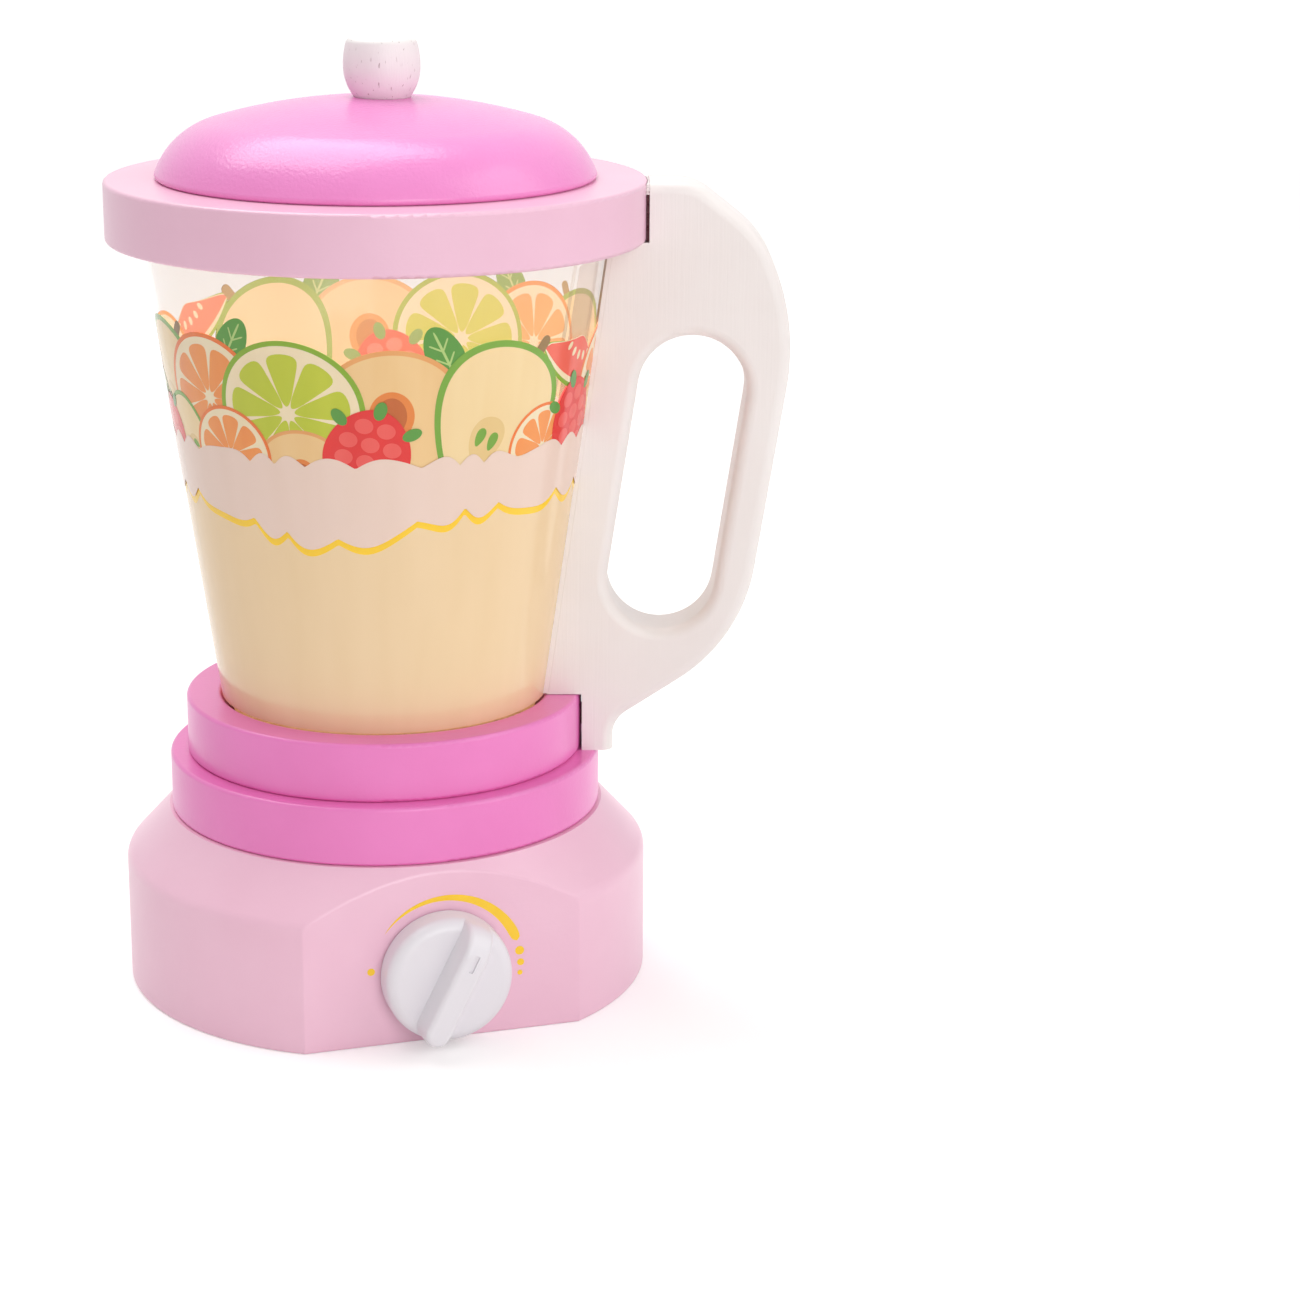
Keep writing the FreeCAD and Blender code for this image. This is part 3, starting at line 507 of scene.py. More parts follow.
# ---- print ---------------------------------------------------------------------------
@dataclass(frozen=True)
class Patch:
    """One flat area of ink between two edges that meet at both ends, in millimetres."""
    low: np.ndarray
    high: np.ndarray
    ink: str
    level: int = 0

    def moved(self, x: float, y: float, tilt_deg: float, level: int) -> "Patch":
        """Turns the patch about (0, 0) and then moves it.

        Args:
            x: move to the side.
            y: move upwards.
            tilt_deg: turn.
            level: layers by which it is raised.
        Returns:
            The new patch.
        """
        angle = math.radians(tilt_deg)
        turn = np.array([[math.cos(angle), math.sin(angle)], [-math.sin(angle), math.cos(angle)]])
        low, high = (edge @ turn + np.array([x, y]) for edge in (self.low, self.high))
        return Patch(low, high, self.ink, self.level + level)


def oval(half_width: float, half_height: float, ink: str, level: int = 0, pinch: float = 0.0,
         x: float = 0.0, y: float = 0.0, points: int = 49) -> Patch:
    """Egg shape about (x, y).

    With t from 0 to pi the edges are x -+ half_width sin t (1 + pinch cos t) and
    y - half_height cos t; a positive pinch makes the lower end the broad one.

    Args:
        half_width: half the width.
        half_height: half the height.
        ink: name of the ink.
        level: layer above the motif's lowest.
        pinch: how much the upper end narrows.
        x: centre.
        y: centre.
        points: points on each edge.
    Returns:
        The patch.
    """
    t = np.linspace(0, np.pi, points)
    wide = half_width * np.sin(t) * (1 + pinch * np.cos(t))
    up = y - half_height * np.cos(t)
    return Patch(np.stack([x - wide, up], -1), np.stack([x + wide, up], -1), ink, level)


def blade(length: float, half_width: float, ink: str, level: int, angle_deg: float,
          start: float, bluntness: float = 2.0, taper: float = 0.0) -> Patch:
    """Long patch that points away from the motif's centre, such as a segment or a leaf.

    At share s of its length, the half width is half_width (taper s + 1 - taper) times
    (1 - |2s - 1|^k)^(1/2), with k = bluntness: 2 gives an oval, more gives blunt ends.

    Args:
        length: its length.
        half_width: half its width at the widest.
        ink: name of the ink.
        level: layer above the motif's lowest.
        angle_deg: direction, counted from +x.
        start: distance of its inner end from the centre.
        bluntness: the power k.
        taper: 1 makes the inner end a point, 0 keeps both ends alike.
    Returns:
        The patch.
    """
    s = 0.5 - 0.5 * np.cos(np.linspace(0, np.pi, 21))
    round_off = np.sqrt(np.clip(1 - np.abs(2 * s - 1) ** bluntness, 0, 1))
    wide = half_width * (taper * s + 1 - taper) * round_off
    along = start + length * s
    flat = Patch(np.stack([along, -wide], -1), np.stack([along, wide], -1), ink, level)
    return flat.moved(0, 0, angle_deg, 0)


def bow(radius: float, spread_deg: float, depth: float, ink: str, level: int,
        inset: float = 0.0) -> Patch:
    """Crescent: the outer edge is an arc, the inner edge bulges towards it by less.

    At angle a from straight down, the outer edge has the distance radius - inset from the
    centre, and the inner edge has that less depth cos^0.6 of the share of the spread.

    Args:
        radius: outer radius.
        spread_deg: half of the arc's angle.
        depth: width in the middle.
        ink: name of the ink.
        level: layer above the motif's lowest.
        inset: distance of this layer's edge inside the whole.
    Returns:
        The patch.
    """
    share = np.linspace(-1, 1, 41)
    angle = np.radians(spread_deg) * share - 0.5 * np.pi
    fade = np.cos(0.5 * np.pi * share) ** 0.6
    outer = radius - inset * fade
    inner = outer - depth * fade
    unit = np.stack([np.cos(angle), np.sin(angle)], -1)
    return Patch(unit * outer[:, None], unit * inner[:, None], ink, level)


class Motif(Enum):
    """Kinds of printed fruit and leaf."""
    LIME_WHEEL = "lime wheel"
    ORANGE_WHEEL = "orange wheel"
    MELON = "melon slice"
    PEAR = "pear half"
    RASPBERRY = "raspberry"
    PEACH = "peach half"
    LEAF = "leaf"

    def patches(self, size: float) -> list[Patch]:
        """Draws the motif about its centre.

        Args:
            size: half its height in millimetres.
        Returns:
            Its patches, lowest layer first.
        """
        return DRAWINGS[self](size)


def citrus(size: float, rind: str, flesh: str) -> list[Patch]:
    """Cut citrus fruit: rind, pith, nine segments round the centre, and pith lines between.

    Args:
        size: its radius in millimetres.
        rind: ink of the rind.
        flesh: ink of the segments.
    Returns:
        Its patches, lowest layer first.
    """
    segments = 9
    half_width = 0.8 * size * math.tan(math.pi / segments) * 0.84
    cut = [oval(size, size, rind), oval(0.93 * size, 0.93 * size, "pith", 1)]
    for i in range(segments):
        angle = 360.0 * i / segments + 12
        cut.append(blade(0.72 * size, half_width, flesh, 2, angle, 0.1 * size, 6.0, 0.8))
    return cut


def melon(size: float) -> list[Patch]:
    """Melon slice: green rind, pale line, coral flesh and a row of pips.

    Args:
        size: half its height in millimetres.
    Returns:
        Its patches, lowest layer first.
    """
    radius = 1.7 * size
    slice_ = [
        bow(radius, 52, 1.05 * size, "rind_green", 0),
        bow(radius, 51, 0.98 * size, "pith", 1, 0.09 * size),
        bow(radius, 50, 0.86 * size, "coral", 2, 0.2 * size)]
    for angle in (-116, -103, -90, -77, -64):
        slice_.append(blade(0.2 * size, 0.055 * size, "pith", 3, angle, radius - 0.78 * size, 2.0))
    return [patch.moved(0, 1.25 * size, 0, 0) for patch in slice_]


def pear(size: float) -> list[Patch]:
    """Pear cut in half: green skin, cream flesh, a core with two pips and a short stalk.

    Args:
        size: half its height in millimetres.
    Returns:
        Its patches, lowest layer first.
    """
    return [
        blade(0.34 * size, 0.07 * size, "stalk", 0, 78, 0.86 * size, 6.0),
        oval(0.8 * size, size, "skin_green", 1, -0.36),
        oval(0.72 * size, 0.92 * size, "cream_flesh", 2, -0.36),
        oval(0.22 * size, 0.3 * size, "pale_core", 3, -0.2, 0, -0.25 * size),
        oval(0.06 * size, 0.12 * size, "skin_green", 4, -0.3, -0.09 * size, -0.24 * size, 13),
        oval(0.06 * size, 0.12 * size, "skin_green", 4, -0.3, 0.09 * size, -0.24 * size, 13)]


def raspberry(size: float) -> list[Patch]:
    """Raspberry: a red egg with rows of round drupelets and a small leaf crown.

    Args:
        size: half its height in millimetres.
    Returns:
        Its patches, lowest layer first.
    """
    berry = [oval(0.9 * size, size, "berry_red", 0, 0.12)]
    for row, count in ((-0.58, 2), (-0.2, 3), (0.2, 3), (0.58, 2)):
        for i in range(count):
            x = (i - 0.5 * (count - 1)) * 0.46 * size
            berry.append(oval(0.19 * size, 0.17 * size, "berry_light", 1, 0, x, row * size, 13))
    for angle in (40, 90, 140):
        berry.append(blade(0.42 * size, 0.13 * size, "leaf_green", 2, angle, 0.78 * size, 2.0))
    return berry


def peach(size: float) -> list[Patch]:
    """Peach half: tan flesh with a warm edge and an orange stone.

    Args:
        size: half its height in millimetres.
    Returns:
        Its patches, lowest layer first.
    """
    return [
        oval(size, 0.96 * size, "peach_edge"), oval(0.93 * size, 0.89 * size, "peach", 1),
        oval(0.3 * size, 0.36 * size, "stone_rim", 2), oval(0.2 * size, 0.27 * size, "stone", 3)]


def leaf(size: float) -> list[Patch]:
    """Mint leaf with a pale midrib and two pairs of side ribs.

    Args:
        size: half its height in millimetres.
    Returns:
        Its patches, lowest layer first.
    """
    ribs = [blade(1.7 * size, 0.035 * size, "leaf_rib", 1, 90, -0.85 * size, 8.0)]
    for y in (-0.25, 0.2):
        for angle in (50, 130):
            rib = blade(0.42 * size, 0.025 * size, "leaf_rib", 1, angle, 0.0, 8.0)
            ribs.append(rib.moved(0, y * size, 0, 0))
    return [blade(2 * size, 0.52 * size, "leaf_green", 0, 90, -size, 1.7)] + ribs


DRAWINGS: dict[Motif, Callable[[float], list[Patch]]] = {
    Motif.LIME_WHEEL: lambda size: citrus(size, "rind_green", "lime"),
    Motif.ORANGE_WHEEL: lambda size: citrus(size, "orange_rind", "orange"),
    Motif.MELON: melon,
    Motif.PEAR: pear,
    Motif.RASPBERRY: raspberry,
    Motif.PEACH: peach,
    Motif.LEAF: leaf,
}

INKS: dict[str, tuple[str, str]] = {
    "rind_green": ("8DB32E", "7FA526"), "lime": ("C5CC3A", "B7C22C"),
    "pith": ("F3E3C0", "EED9B0"), "orange_rind": ("EF7D33", "E8702C"),
    "orange": ("F39A4E", "EE8A42"), "coral": ("F06A55", "EA5B49"),
    "skin_green": ("7FAE3C", "6F9F34"), "cream_flesh": ("F3D9A6", "EDCE96"),
    "pale_core": ("E7C98C", "E2C080"), "stalk": ("9A7A4A", "8A6A3E"),
    "berry_red": ("E8322E", "DC2A28"), "berry_light": ("F0625A", "EA544E"),
    "leaf_green": ("5E9E3E", "528F38"), "leaf_rib": ("B5CF7E", "A9C672"),
    "peach": ("F0CB92", "EABF82"), "peach_edge": ("E9A968", "E29C5A"),
    "stone_rim": ("E98A3E", "E07C34"), "stone": ("C96A2C", "BD5F26"),
    "foam": ("ECD2C4", "E9CEBE"), "yellow": ("FFD22C", "FBCB24"),
    "cream": ("F0D3A8", "EDCFA2"),
}


@dataclass
class Print:
    """A set of patches laid on a surface, in thin closed films, one mesh for each ink."""
    name: str
    body: str
    slot: str
    place: Callable[[np.ndarray, float], np.ndarray]
    patches: list[Patch]
    film_mm: float = 0.003
    step_mm: float = 0.008
    column_mm: float = 1.1
    paleness: float = 0.0
    # Painted light: the inks' emission glow stands in for light through the sheet.
    painted_glow: float = 0.0

    def film(self, patch: Patch) -> tuple[np.ndarray, np.ndarray, np.ndarray]:
        """Works out one closed film.

        Point (s, t) lies at low(s) + t (high(s) - low(s)); the film's upper side runs over t
        from 0 to 1 and its lower side back, and both ends run together in a pole.

        Args:
            patch: the area.
        Returns:
            The rings and the two poles, in millimetres.
        """
        width = np.linalg.norm(patch.high - patch.low, axis=1).max()
        across = np.linspace(0, 1, max(2, int(width / self.column_mm) + 2))
        spread = patch.low[:, None] + (patch.high - patch.low)[:, None] * across[None, :, None]
        top = patch.level * self.step_mm
        upper = self.place(spread, top)
        lower = self.place(spread, top - self.film_mm)[:, ::-1]
        rings = np.concatenate([upper, lower], 1)
        return rings[1:-1], rings[0].mean(0), rings[-1].mean(0)

    def build(self) -> None:
        """Makes one mesh for each ink from all its patches."""
        for ink in dict.fromkeys(patch.ink for patch in self.patches):
            parts = [shell("film", *self.film(patch)) for patch in self.patches if patch.ink == ink]
            piece = joined("%s_%s" % (self.name, ink), parts)
            colour, shade = (paler(tone, self.paleness) for tone in INKS[ink])
            finish = PrintedInk("%s_%s_ink" % (self.name, ink), colour, shade, self.painted_glow)
            put(piece, self.body, finish)


def joined(name: str, parts: list[bpy.types.Object]) -> bpy.types.Object:
    """Joins meshes into one object at the origin.

    Args:
        name: the joined piece's name.
        parts: objects at the origin, which are used up.
    Returns:
        The joined object.
    """
    points, faces, base = [], [], 0
    for part in parts:
        mesh = part.data
        flat = np.empty(len(mesh.vertices) * 3)
        mesh.vertices.foreach_get("co", flat)
        points.append(flat.reshape(-1, 3))
        faces += [[base + i for i in face.vertices] for face in mesh.polygons]
        base += len(mesh.vertices)
        bpy.data.objects.remove(part)
    return made_object(name, np.vstack(points), faces)


@dataclass(frozen=True)
class Placed:
    """One motif in a tile: how far round it, how high, how big, how tilted, in which layer."""
    motif: Motif
    share: float
    height: float
    size: float
    tilt_deg: float
    level: int

    def patches(self, repeat: int, width: float) -> list[Patch]:
        """Draws the motif in its place.

        Args:
            repeat: number of tiles before its own.
            width: the tile's width.
        Returns:
            Its patches.
        """
        x = (repeat + self.share) * width
        return [patch.moved(x, self.height, self.tilt_deg, self.level)
                for patch in self.motif.patches(self.size)]


# ---- jug -----------------------------------------------------------------------------
@dataclass
class Jug:
    """Clear cup with its print, foot ring, collar, board handle and turned floor."""
    turn_deg: float = -16.85
    cup_low_r: float = 43.2
    cup_slope: float = 0.1405
    # Lap of the cup's sheet: the adhesive's two edges, and its depth inside the cup.
    lap_front: float = 26.6
    lap_end: float = 2.0
    lap_head: float = 0.5
    lap_depth: float = 1.22
    lap_squeezed: float = 8.0
    lap_squeezed_depth: float = 0.25
    lap_adhesive: float = 0.03
    # Print: heights above the ring, scallops and layers.
    tiles: int = 2
    print_gap: float = 0.4
    ground_high: float = 78.0
    ground_rise: float = 3.0
    band_low: float = 60.5
    band_high: float = 71.5
    band_level: int = 30
    band_low_rise: float = 3.4
    scallop_mm: float = 11.0
    scallop_rise: float = 2.6
    low_scallop: float = 1.35
    sways: tuple[tuple[float, float], ...] = ((3.4, 7.1), (1.3, 4.3))
    droop_mm: float = 7.5
    droop_share: float = 0.18
    line_under: float = 1.7
    line_over: float = 1.0
    line_level: int = 3
    line_rise: float = 3.6
    # Joint between collar and handle, with its glue and the paint over it.
    joint_gap: float = 0.4
    joint_half: float = 9.0
    joint_play: float = 0.04
    joint_foot: float = 0.3
    joint_head: float = 0.6
    painted_joint: float = 3.2
    glue_sunk: float = 0.7
    paint_sunk: float = 0.25
    glue_waver: float = 0.5
    wavers: tuple[tuple[float, float, float], ...] = (
        (0.5, 1.9, 0.0), (0.35, 4.3, 1.0), (0.3, 7.7, 2.0))
    # Filler between the cup and the handle's seat.
    seat_edge: float = 0.7
    seat_gap: float = 0.12
    filler_start: float = 5.9
    filler_gap: float = 0.28
    filler_foot: float = 0.4
    filler_head: float = 0.2

    def __post_init__(self) -> None:
        """Reads the levels of the ring and the collar from the frame."""
        self.z_ring = corner_mm("jug_ring", True)[2]
        self.z_collar = corner_mm("jug_collar", False)[2]
        middle_r = self.cup_low_r + 0.5 * self.cup_slope * (self.z_collar - self.z_ring)
        self.round_mm = 2 * math.pi * middle_r

    def on_cup(self, flat: np.ndarray, out: float) -> np.ndarray:
        """Lays flat points on the cup's cone.

        The height above the ring is y. The angle from the handle is x as a share of the
        print's whole width, the same at every height, so motifs narrow with the cup.

        Args:
            flat: points (x, y) in millimetres, with x counted from the handle.
            out: distance outside the cup's surface.
        Returns:
            Points (x, y, z).
        """
        z = self.z_ring + flat[..., 1]
        r = self.cup_low_r + self.cup_slope * flat[..., 1] + out
        angle = math.radians(self.turn_deg) + 2 * np.pi * flat[..., 0] / self.round_mm
        return np.stack([r * np.cos(angle), r * np.sin(angle), z], -1)

    def band(self, low: float, high: float, ink: str, level: int, low_rise: float = 0.0,
             high_rise: float = 0.0) -> Patch:
        """Band of ink all round the cup, with edges of uneven scallops.

        An edge lies at its height plus rise times |sin| of pi x / scallop_mm, where x is first
        shifted to and fro by the sways, each a reach and a wave, so no two scallops are alike.
        The lower scallops are low_scallop times as long, and the lower edge also hangs down by
        droop_mm once in each tile. The band runs from just past the handle's middle round to
        just before it, and its ends run together.

        Args:
            low: height of the lower edge.
            high: height of the upper edge.
            ink: name of the ink.
            level: layer.
            low_rise: depth of the lower scallops, downwards.
            high_rise: height of the upper scallops, upwards.
        Returns:
            The patch.
        """
        x = np.linspace(self.print_gap, self.round_mm - self.print_gap, 560)
        ends = np.clip(np.minimum(x - x[0], x[-1] - x), 0, 1)
        uneven = x
        for reach, wave in self.sways:
            uneven = uneven + reach * np.sin(x / wave)
        above = high_rise * np.abs(np.sin(np.pi * uneven / self.scallop_mm))
        below = low_rise * np.abs(np.sin(np.pi * (uneven / (self.low_scallop * self.scallop_mm))))
        if low_rise > 0:
            turns = x * self.tiles / self.round_mm - self.droop_share
            below = below + self.droop_mm * np.clip(np.sin(2 * np.pi * turns), 0, 1) ** 2
        middle = 0.5 * (low + high)
        lower = middle + (low - below - middle) * ends
        upper = middle + (high + above - middle) * ends
        return Patch(np.stack([x, lower], -1), np.stack([x, upper], -1), ink, level)

    def fruit(self) -> list[Patch]:
        """Heap of fruit: one tile of motifs, repeated round the cup.

        Returns:
            All patches, the back row lowest.
        """
        tile = [
            Placed(Motif.LEAF, 0.30, 101.0, 8.0, -30, 2),
            Placed(Motif.LEAF, 0.61, 99.5, 8.5, 25, 2),
            Placed(Motif.PEAR, 0.12, 86.0, 18.0, -20, 4),
            Placed(Motif.PEACH, 0.535, 85.0, 17.5, 0, 4),
            Placed(Motif.MELON, 0.86, 92.0, 12.5, -20, 4),
            Placed(Motif.ORANGE_WHEEL, 0.245, 86.5, 16.5, 10, 9),
            Placed(Motif.ORANGE_WHEEL, 0.975, 85.0, 15.5, 10, 9),
            Placed(Motif.LIME_WHEEL, 0.385, 85.0, 18.5, 0, 12),
            Placed(Motif.PEAR, 0.69, 82.0, 20.5, -24, 12),
            Placed(Motif.LIME_WHEEL, 0.02, 76.0, 14.5, 20, 12),
            Placed(Motif.PEACH, 0.40, 69.0, 12.5, 0, 17),
            Placed(Motif.PEAR, 0.17, 73.5, 12.5, 60, 17),
            Placed(Motif.ORANGE_WHEEL, 0.79, 73.0, 11.5, 0, 17),
            Placed(Motif.PEACH, 0.955, 73.0, 12.0, 0, 17),
            Placed(Motif.ORANGE_WHEEL, 0.275, 72.5, 12.5, 30, 22),
            Placed(Motif.RASPBERRY, 0.50, 75.5, 11.5, -16, 25),
            Placed(Motif.RASPBERRY, 0.875, 77.5, 11.5, 14, 25),
            Placed(Motif.RASPBERRY, 0.095, 74.0, 9.5, 20, 25)]
        width = self.round_mm / self.tiles
        return [patch for repeat in range(self.tiles) for placed in tile
                for patch in placed.patches(repeat, width)]

    def print_patches(self) -> list[Patch]:
        """Lists all areas of ink on the cup.

        Returns:
            The patches, lowest layer first.
        """
        ground = self.band(0.0, self.ground_high, "cream", 1, high_rise=self.ground_rise)
        foam = self.band(self.band_low, self.band_high, "foam", self.band_level,
                         self.band_low_rise, self.scallop_rise)
        line = self.band(self.band_low - self.line_under, self.band_low + self.line_over, "yellow",
                         self.line_level, self.line_rise)
        return [ground] + self.fruit() + [line, foam]

    def build(self) -> None:
        """Makes the print's two sides and dresses the jug's solids."""
        patches = self.print_patches()
        top = 1 + max(patch.level for patch in patches)
        behind = [Patch(p.low, p.high, p.ink, top - p.level) for p in patches]
        before = [Patch(p.low, p.high, p.ink, top + p.level) for p in patches]
        # The back of the print is paler, partly its own paler reverse side and partly painted light, and
        # it has a painted glow that stands in for light through the sheet.
        Print("print_behind", "jug", "clear_plastic", self.on_cup, behind,
              paleness=0.35, painted_glow=0.85).build()
        Print("print", "jug", "clear_plastic", self.on_cup, before).build()
        self.seam()
        self.glue_line()
        self.seat_filler()
        dress(ClearSheet("clear_rolled_sheet"), "jug_cup")
        dress(HOT_PINK, "jug_ring")
        dress(COLLAR_PINK_SHADED, "jug_collar")
        dress(WHITE_BOARD, "jug_handle")
        dress(SandedTimber("sanded_beech_jug"), "jug_floor", "handle_dowels")

    def strip(self, near: np.ndarray, far: np.ndarray, side: np.ndarray,
              up: np.ndarray) -> np.ndarray:
        """Rings of a strip between two distances from the jug's axis, lowest first.

        With the handle along +X, a ring runs over (near, side, up) and back over
        (far, side, up). The jug's turn then carries it to its place.

        Args:
            near: distance of the face nearer the axis, in millimetres.
            far: distance of the other face.
            side: distance from the handle's middle plane.
            up: height.
        Returns:
            Array of n rings by m points by 3.
        """
        inner, outer = (np.stack(np.broadcast_arrays(away, side, up), -1) for away in (near, far))
        turn = np.array(Matrix.Rotation(math.radians(self.turn_deg), 3, "Z"))
        return np.concatenate([inner, outer[:, ::-1]], 1) @ turn.T

    def glue_line(self) -> None:
        """Dried glue and bare wood in the joint between collar and handle, painted over on top.

        The strip fills the joint from the collar's round wall to the handle's flat notch. Its
        front and back faces stand back from the handle's faces by a wavering depth: the sum
        of the wavers, which are sines of the height with a reach, a pace and a start, cut off
        at zero where the glue was squeezed out.
        """
        foot = self.z_collar + self.joint_foot
        top = corner_mm("jug_collar", True)[2]
        painted = top - self.painted_joint
        collar_r = 0.5 * (corner_mm("jug_collar", True) - corner_mm("jug_collar", False))[1]
        head = top - self.joint_head
        for name, low, high, sunk, finish in (
                ("handle_glue_line", foot, painted, self.glue_sunk, DARK_GLUE),
                ("handle_joint_paint", painted, head, self.paint_sunk, WHITE_BOARD)):
            z = np.linspace(low, high, 48)[:, None]
            waver = sum(reach * np.sin(pace * z + start) for reach, pace, start in self.wavers)
            depth = self.joint_half - sunk - self.glue_waver * np.clip(waver, 0, 1)
            side = np.linspace(-1, 1, 13)[None, :] * depth
            near = np.sqrt(collar_r ** 2 - side ** 2) + self.joint_play
            far = np.array(collar_r + self.joint_gap - self.joint_play)
            rings = self.strip(near, far, side, z)
            piece = shell(name, rings, rings[0].mean(0), rings[-1].mean(0))
            put(piece, "jug", finish)

    def seat_filler(self) -> None:
        """Filler, painted over, in the wedge between the round cup and the handle's flat seat.

        There is one bead on each side of the handle. It runs from the handle's seat to
        filler_gap short of the cup, out to just under the handle's face, where it fills the
        hollow over the seat's rounded edge: at the distance t past the rounding's start that
        edge lies e - sqrt(e^2 - t^2) farther out, with e = seat_edge.
        """
        foot, head = self.z_ring + self.filler_foot, self.z_collar - self.filler_head
        z = np.linspace(foot, head, 60)[:, None]
        r = self.cup_low_r + self.cup_slope * (z - self.z_ring)
        start = self.joint_half - self.seat_edge
        rounding = start + self.seat_edge * np.array([0.2, 0.4, 0.6, 0.75, 0.88, 0.96])
        side = np.append(np.linspace(self.filler_start, start, 5), rounding)[None, :]
        past = np.clip(side - start, 0, None)
        near = np.sqrt(r ** 2 - side ** 2) + self.filler_gap
        far = r + self.seat_gap + self.seat_edge - np.sqrt(self.seat_edge ** 2 - past ** 2)
        for name, hand in (("handle_filler_front", -1), ("handle_filler_back", 1)):
            rings = self.strip(near, far, hand * side, z)
            piece = shell(name, rings, rings[0].mean(0), rings[-1].mean(0))
            put(piece, "jug", WHITE_BOARD)

    def seam(self) -> None:
        """Strip of adhesive in the cup's lap, beside the handle.

        Its edges lie at fixed distances from the handle's middle plane, so it runs up the
        cone as a straight strip, from the ring to the collar. It lies lap_depth inside the
        cup's surface, and comes up to it where the adhesive was squeezed out at the handle.
        """
        z = np.linspace(self.z_ring, self.z_collar - self.lap_head, 40)[:, None]
        side = np.linspace(-self.lap_front, -self.lap_end, 24)[None, :]
        inset = np.interp(side, [-self.lap_squeezed, -self.lap_end],
                          [self.lap_depth, self.lap_squeezed_depth])
        r = self.cup_low_r + self.cup_slope * (z - self.z_ring) - inset
        faces = [np.sqrt((r - depth) ** 2 - side ** 2) for depth in (0.0, self.lap_adhesive)]
        rings = self.strip(faces[0], faces[1], side, z)
        piece = shell("cup_seam_adhesive", rings[1:-1], rings[0].mean(0), rings[-1].mean(0))
        adhesive = ClearSheet("seam_adhesive", "E4BCA4", cover=0.2, roughness=0.3)
        put(piece, "jug", adhesive)


# ---- base, dial and lid --------------------------------------------------------------
@dataclass
class Base:
    """Block with the dial's flat, disc, cover, and the printed scale round the dial."""
    scale_low_r: float = 19.2
    scale_high_r: float = 20.6
    scale_start_deg: float = 143.0
    scale_end_deg: float = 17.0
    scale_width: float = 2.9
    scale_gap: float = 0.02
    start_dot: tuple[float, float, float] = (-19.0, 1.8, 1.0)
    end_dots: tuple[tuple[float, float], ...] = ((9, 1.2), (0, 0.95), (-8, 0.7))

    def __post_init__(self) -> None:
        """Reads the height of the dial's axis from the frame."""
        self.dial_z = 0.5 * (corner_mm("dial_bush", False) + corner_mm("dial_bush", True))[2]

    def on_flat(self, flat: np.ndarray, out: float) -> np.ndarray:
        """Lays flat points on the front flat, with (0, 0) at the dial's axis."""
        y = corner_mm("dial_bush", False)[1] - self.scale_gap - out
        return np.stack([flat[..., 0], y + 0 * flat[..., 0], self.dial_z + flat[..., 1]], -1)

    def scale(self) -> list[Patch]:
        """Tapered arc and dots round the dial.

        At share s along the arc the middle radius runs evenly from scale_low_r to
        scale_high_r, and the width is scale_width s^0.8, rounded at the end. One dot lies
        before the arc at start_dot (x, y, radius), and the rest after it at each angle and
        radius of end_dots.

        Returns:
            The patches.
        """
        s = np.linspace(0, 1, 61)
        angle = np.radians(self.scale_start_deg + (self.scale_end_deg - self.scale_start_deg) * s)
        middle = self.scale_low_r + (self.scale_high_r - self.scale_low_r) * s
        half = 0.5 * self.scale_width * s ** 0.8 * np.sqrt(np.clip(1 - s ** 40, 0, 1))
        unit = np.stack([np.cos(angle), np.sin(angle)], -1)
        arc = Patch(unit * (middle - half)[:, None], unit * (middle + half)[:, None], "yellow", 1)
        dots = [self.start_dot]
        for turn, size in self.end_dots:
            x, y = (self.scale_high_r * f(math.radians(turn)) for f in (math.cos, math.sin))
            dots.append((x, y, size))
        return [arc] + [oval(size, size, "yellow", 1, 0, x, y) for x, y, size in dots]

    def build(self) -> None:
        """Makes the scale and dresses the base's solids."""
        Print("dial_scale", "base", "light_pink_paint", self.on_flat, self.scale()).build()
        dress(LIGHT_PINK, "base_block")
        dress(HOT_PINK, "base_disc")
        dress(SandedTimber("sanded_birch_base"), "bottom_cover", "base_dowels", "centre_peg")
        dress(PlatedSteel("plated_steel_base"), "cover_screws", "click_spring", "spring_screw")
        dress(MouldedPlastic("bush_plastic", "E6E2D8", roughness=0.5), "dial_bush")


@dataclass
class Dial:
    """Moulded dial with its shaft and click work."""

    def build(self) -> None:
        """Dresses the dial's solids."""
        dress(MouldedPlastic("dial_plastic", "E9E5EA"), "dial_knob")
        dress(PlatedSteel("plated_steel_dial"), "dial_shaft", "dial_screw")
        click_work = MouldedPlastic("click_work_plastic", "E6E2D8", roughness=0.5)
        dress(click_work, "thrust_washer", "click_wheel")


@dataclass
class Lid:
    """Turned dome with its plug, knob and screw."""

    def build(self) -> None:
        """Dresses the lid's solids."""
        dress(LID_PINK_LIT, "lid_dome")
        dress(SandedTimber("sanded_beech_lid"), "lid_plug")
        dress(WHITE_KNOB, "lid_knob")
        dress(PlatedSteel("plated_steel_lid"), "lid_screw")


# ---- studio --------------------------------------------------------------------------
@dataclass
class Softbox:
    """Square area lamp that faces the jug, with its distance and size in metres."""
    name: str
    azimuth_deg: float
    elevation_deg: float
    distance: float
    size: float
    watts: float
    target: tuple[float, float, float] = (0.0, 0.0, 0.12)

    def build(self) -> None:
        """Places the lamp; azimuth 0 is in front, on -Y, and 90 is on the right, on +X."""
        data = bpy.data.lights.new(self.name, "AREA")
        data.shape = "SQUARE"
        data.size = self.size
        data.energy = self.watts
        a, e = math.radians(self.azimuth_deg), math.radians(self.elevation_deg)
        back = Vector((math.sin(a) * math.cos(e), -math.cos(a) * math.cos(e), math.sin(e)))
        lamp = bpy.data.objects.new(self.name, data)
        lamp.location = Vector(self.target) + back * self.distance
        lamp.rotation_mode = "QUATERNION"
        lamp.rotation_quaternion = back.to_track_quat("Z", "Y")
        bpy.context.scene.collection.objects.link(lamp)


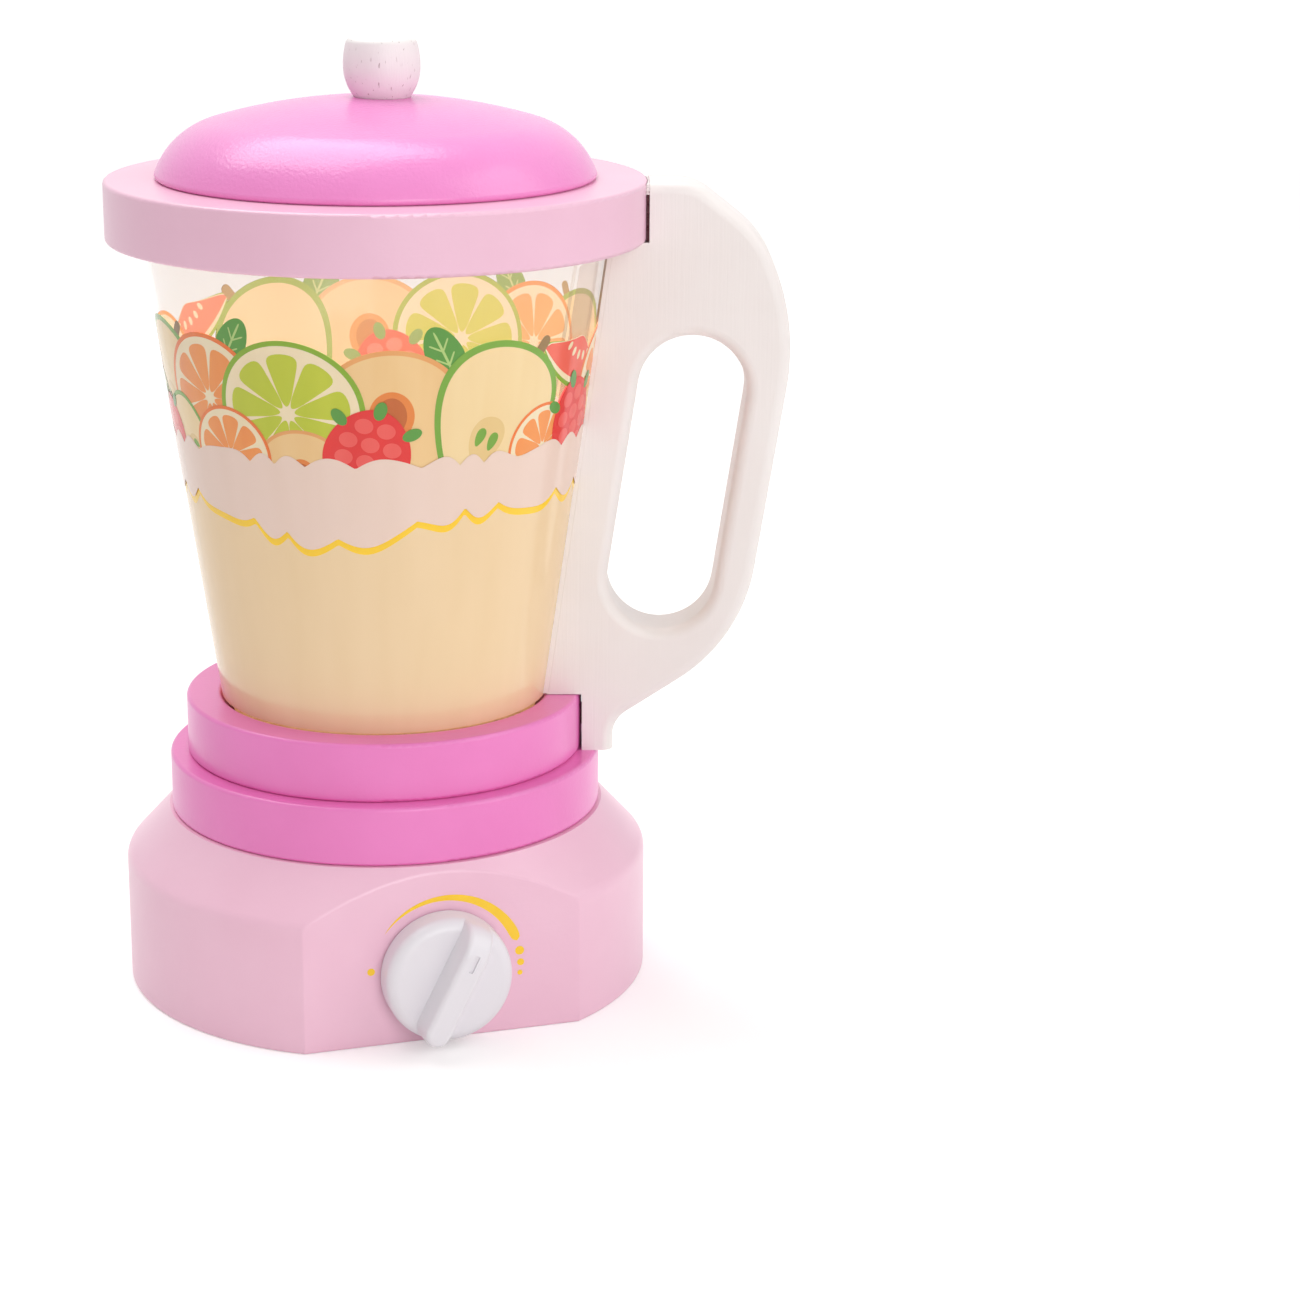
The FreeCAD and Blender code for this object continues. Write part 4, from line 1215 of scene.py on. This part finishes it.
@dataclass
class Studio:
    """Camera, pale floor, white surround and soft lamps."""
    camera_mm: tuple[float, float, float] = (-184.3, -776.7, 317.7)
    heading_deg: float = 18.47
    down_deg: float = 16.07
    roll_deg: float = 0.5
    lens_mm: float = 85.41
    sensor_mm: float = 36.0
    floor_m: float = 8.0
    surround: float = 0.42
    floor_colour: str = "F0EEED"
    floor_lift: float = 0.29
    floor_lift_far: float = 0.78
    lift_near_m: float = 0.5
    lift_far_m: float = 3.0
    lamps: tuple[Softbox, ...] = (
        Softbox("key_softbox", 62, 36, distance=1.3, size=0.9, watts=4.0),
        Softbox("top_softbox", 208, 70, distance=1.3, size=1.1, watts=12.6),
        Softbox("front_softbox", 5, 16, distance=1.6, size=0.9, watts=7.4))

    def camera(self) -> None:
        """Sets the camera: heading turns from +Y towards +X, down tips it, roll leans it."""
        a, t, r = (math.radians(v) for v in (self.heading_deg, self.down_deg, self.roll_deg))
        ahead = Vector((math.sin(a) * math.cos(t), math.cos(a) * math.cos(t), -math.sin(t)))
        right = Vector((math.cos(a), -math.sin(a), 0))
        up = right.cross(ahead)
        leaned_right = right * math.cos(r) + up * math.sin(r)
        leaned_up = up * math.cos(r) - right * math.sin(r)
        data = bpy.data.cameras.new("camera")
        data.lens = self.lens_mm
        data.sensor_width = self.sensor_mm
        data.clip_start, data.clip_end = 0.01, 50.0
        camera = bpy.data.objects.new("camera", data)
        place = Matrix((leaned_right, leaned_up, -ahead)).transposed().to_4x4()
        place.translation = Vector(self.camera_mm) * MM
        camera.matrix_world = place
        bpy.context.scene.collection.objects.link(camera)
        bpy.context.scene.camera = camera

    def seen(self, tree: Tree) -> Socket:
        """Tells what is looked at from light that falls on things.

        Args:
            tree: the material's or world's tree.
        Returns:
            1 for what the camera, a gloss or a clear surface sees, and 0 for the rest.
        """
        ray = add(tree, "ShaderNodeLightPath").outputs
        seen = ray["Is Camera Ray"]
        for kind in ("Is Glossy Ray", "Is Transmission Ray"):
            both = add(tree, "ShaderNodeMath", {0: seen, 1: ray[kind]}, operation="MAXIMUM")
            seen = both.outputs[0]
        return seen

    def world(self) -> None:
        """White surround where it is seen, and a plain level of light elsewhere."""
        world = bpy.data.worlds.new("surround")
        bpy.context.scene.world = world
        world.use_nodes = True
        tree = world.node_tree
        tree.nodes.clear()
        level = add(tree, "ShaderNodeMapRange", {
            "Value": self.seen(tree), "To Min": self.surround, "To Max": 1.0})
        sky = add(tree, "ShaderNodeBackground", {
            "Color": linear("FFFFFF"), "Strength": level.outputs[0]})
        add(tree, "ShaderNodeOutputWorld", {"Surface": sky.outputs[0]})

    def floor(self) -> None:
        """Plain pale floor that keeps the shadow and is lifted to white where it is seen."""
        half = 0.5 * self.floor_m
        mesh = bpy.data.meshes.new("floor")
        corners = [(-half, -half, 0), (half, -half, 0), (half, half, 0), (-half, half, 0)]
        mesh.from_pydata(corners, [], [(0, 1, 2, 3)])
        floor = bpy.data.objects.new("floor", mesh)
        bpy.context.scene.collection.objects.link(floor)
        paper = bpy.data.materials.new("pale_paper_floor")
        paper.use_nodes = True
        tree = paper.node_tree
        place = add(tree, "ShaderNodeTexCoord").outputs["Object"]
        away = add(tree, "ShaderNodeVectorMath", {0: place}, operation="LENGTH").outputs["Value"]
        level = add(tree, "ShaderNodeMapRange", {
            "Value": away, "From Min": self.lift_near_m, "From Max": self.lift_far_m,
            "To Min": self.floor_lift, "To Max": self.floor_lift_far})
        lift = add(tree, "ShaderNodeMath", {
            0: self.seen(tree), 1: level.outputs[0]}, operation="MULTIPLY")
        feed(tree, tree.nodes["Principled BSDF"], {
            "Base Color": linear(self.floor_colour), "Roughness": 0.9, "Specular IOR Level": 0.1,
            "Emission Color": linear("FFFFFF"), "Emission Strength": lift.outputs[0]})
        mesh.materials.append(paper)

    def build(self) -> None:
        """Makes the whole studio."""
        bpy.context.scene.view_settings.view_transform = "Standard"
        self.camera()
        self.world()
        self.floor()
        for lamp in self.lamps:
            lamp.build()
        log.info("studio is set")


def main() -> None:
    """Builds the studio and every sub-assembly."""
    logging.basicConfig(level=logging.INFO, format="%(name)s: %(message)s")
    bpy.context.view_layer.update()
    Studio().build()
    for sub_assembly in (Base(), Dial(), Jug(), Lid()):
        sub_assembly.build()


if __name__ == "__main__":
    main()
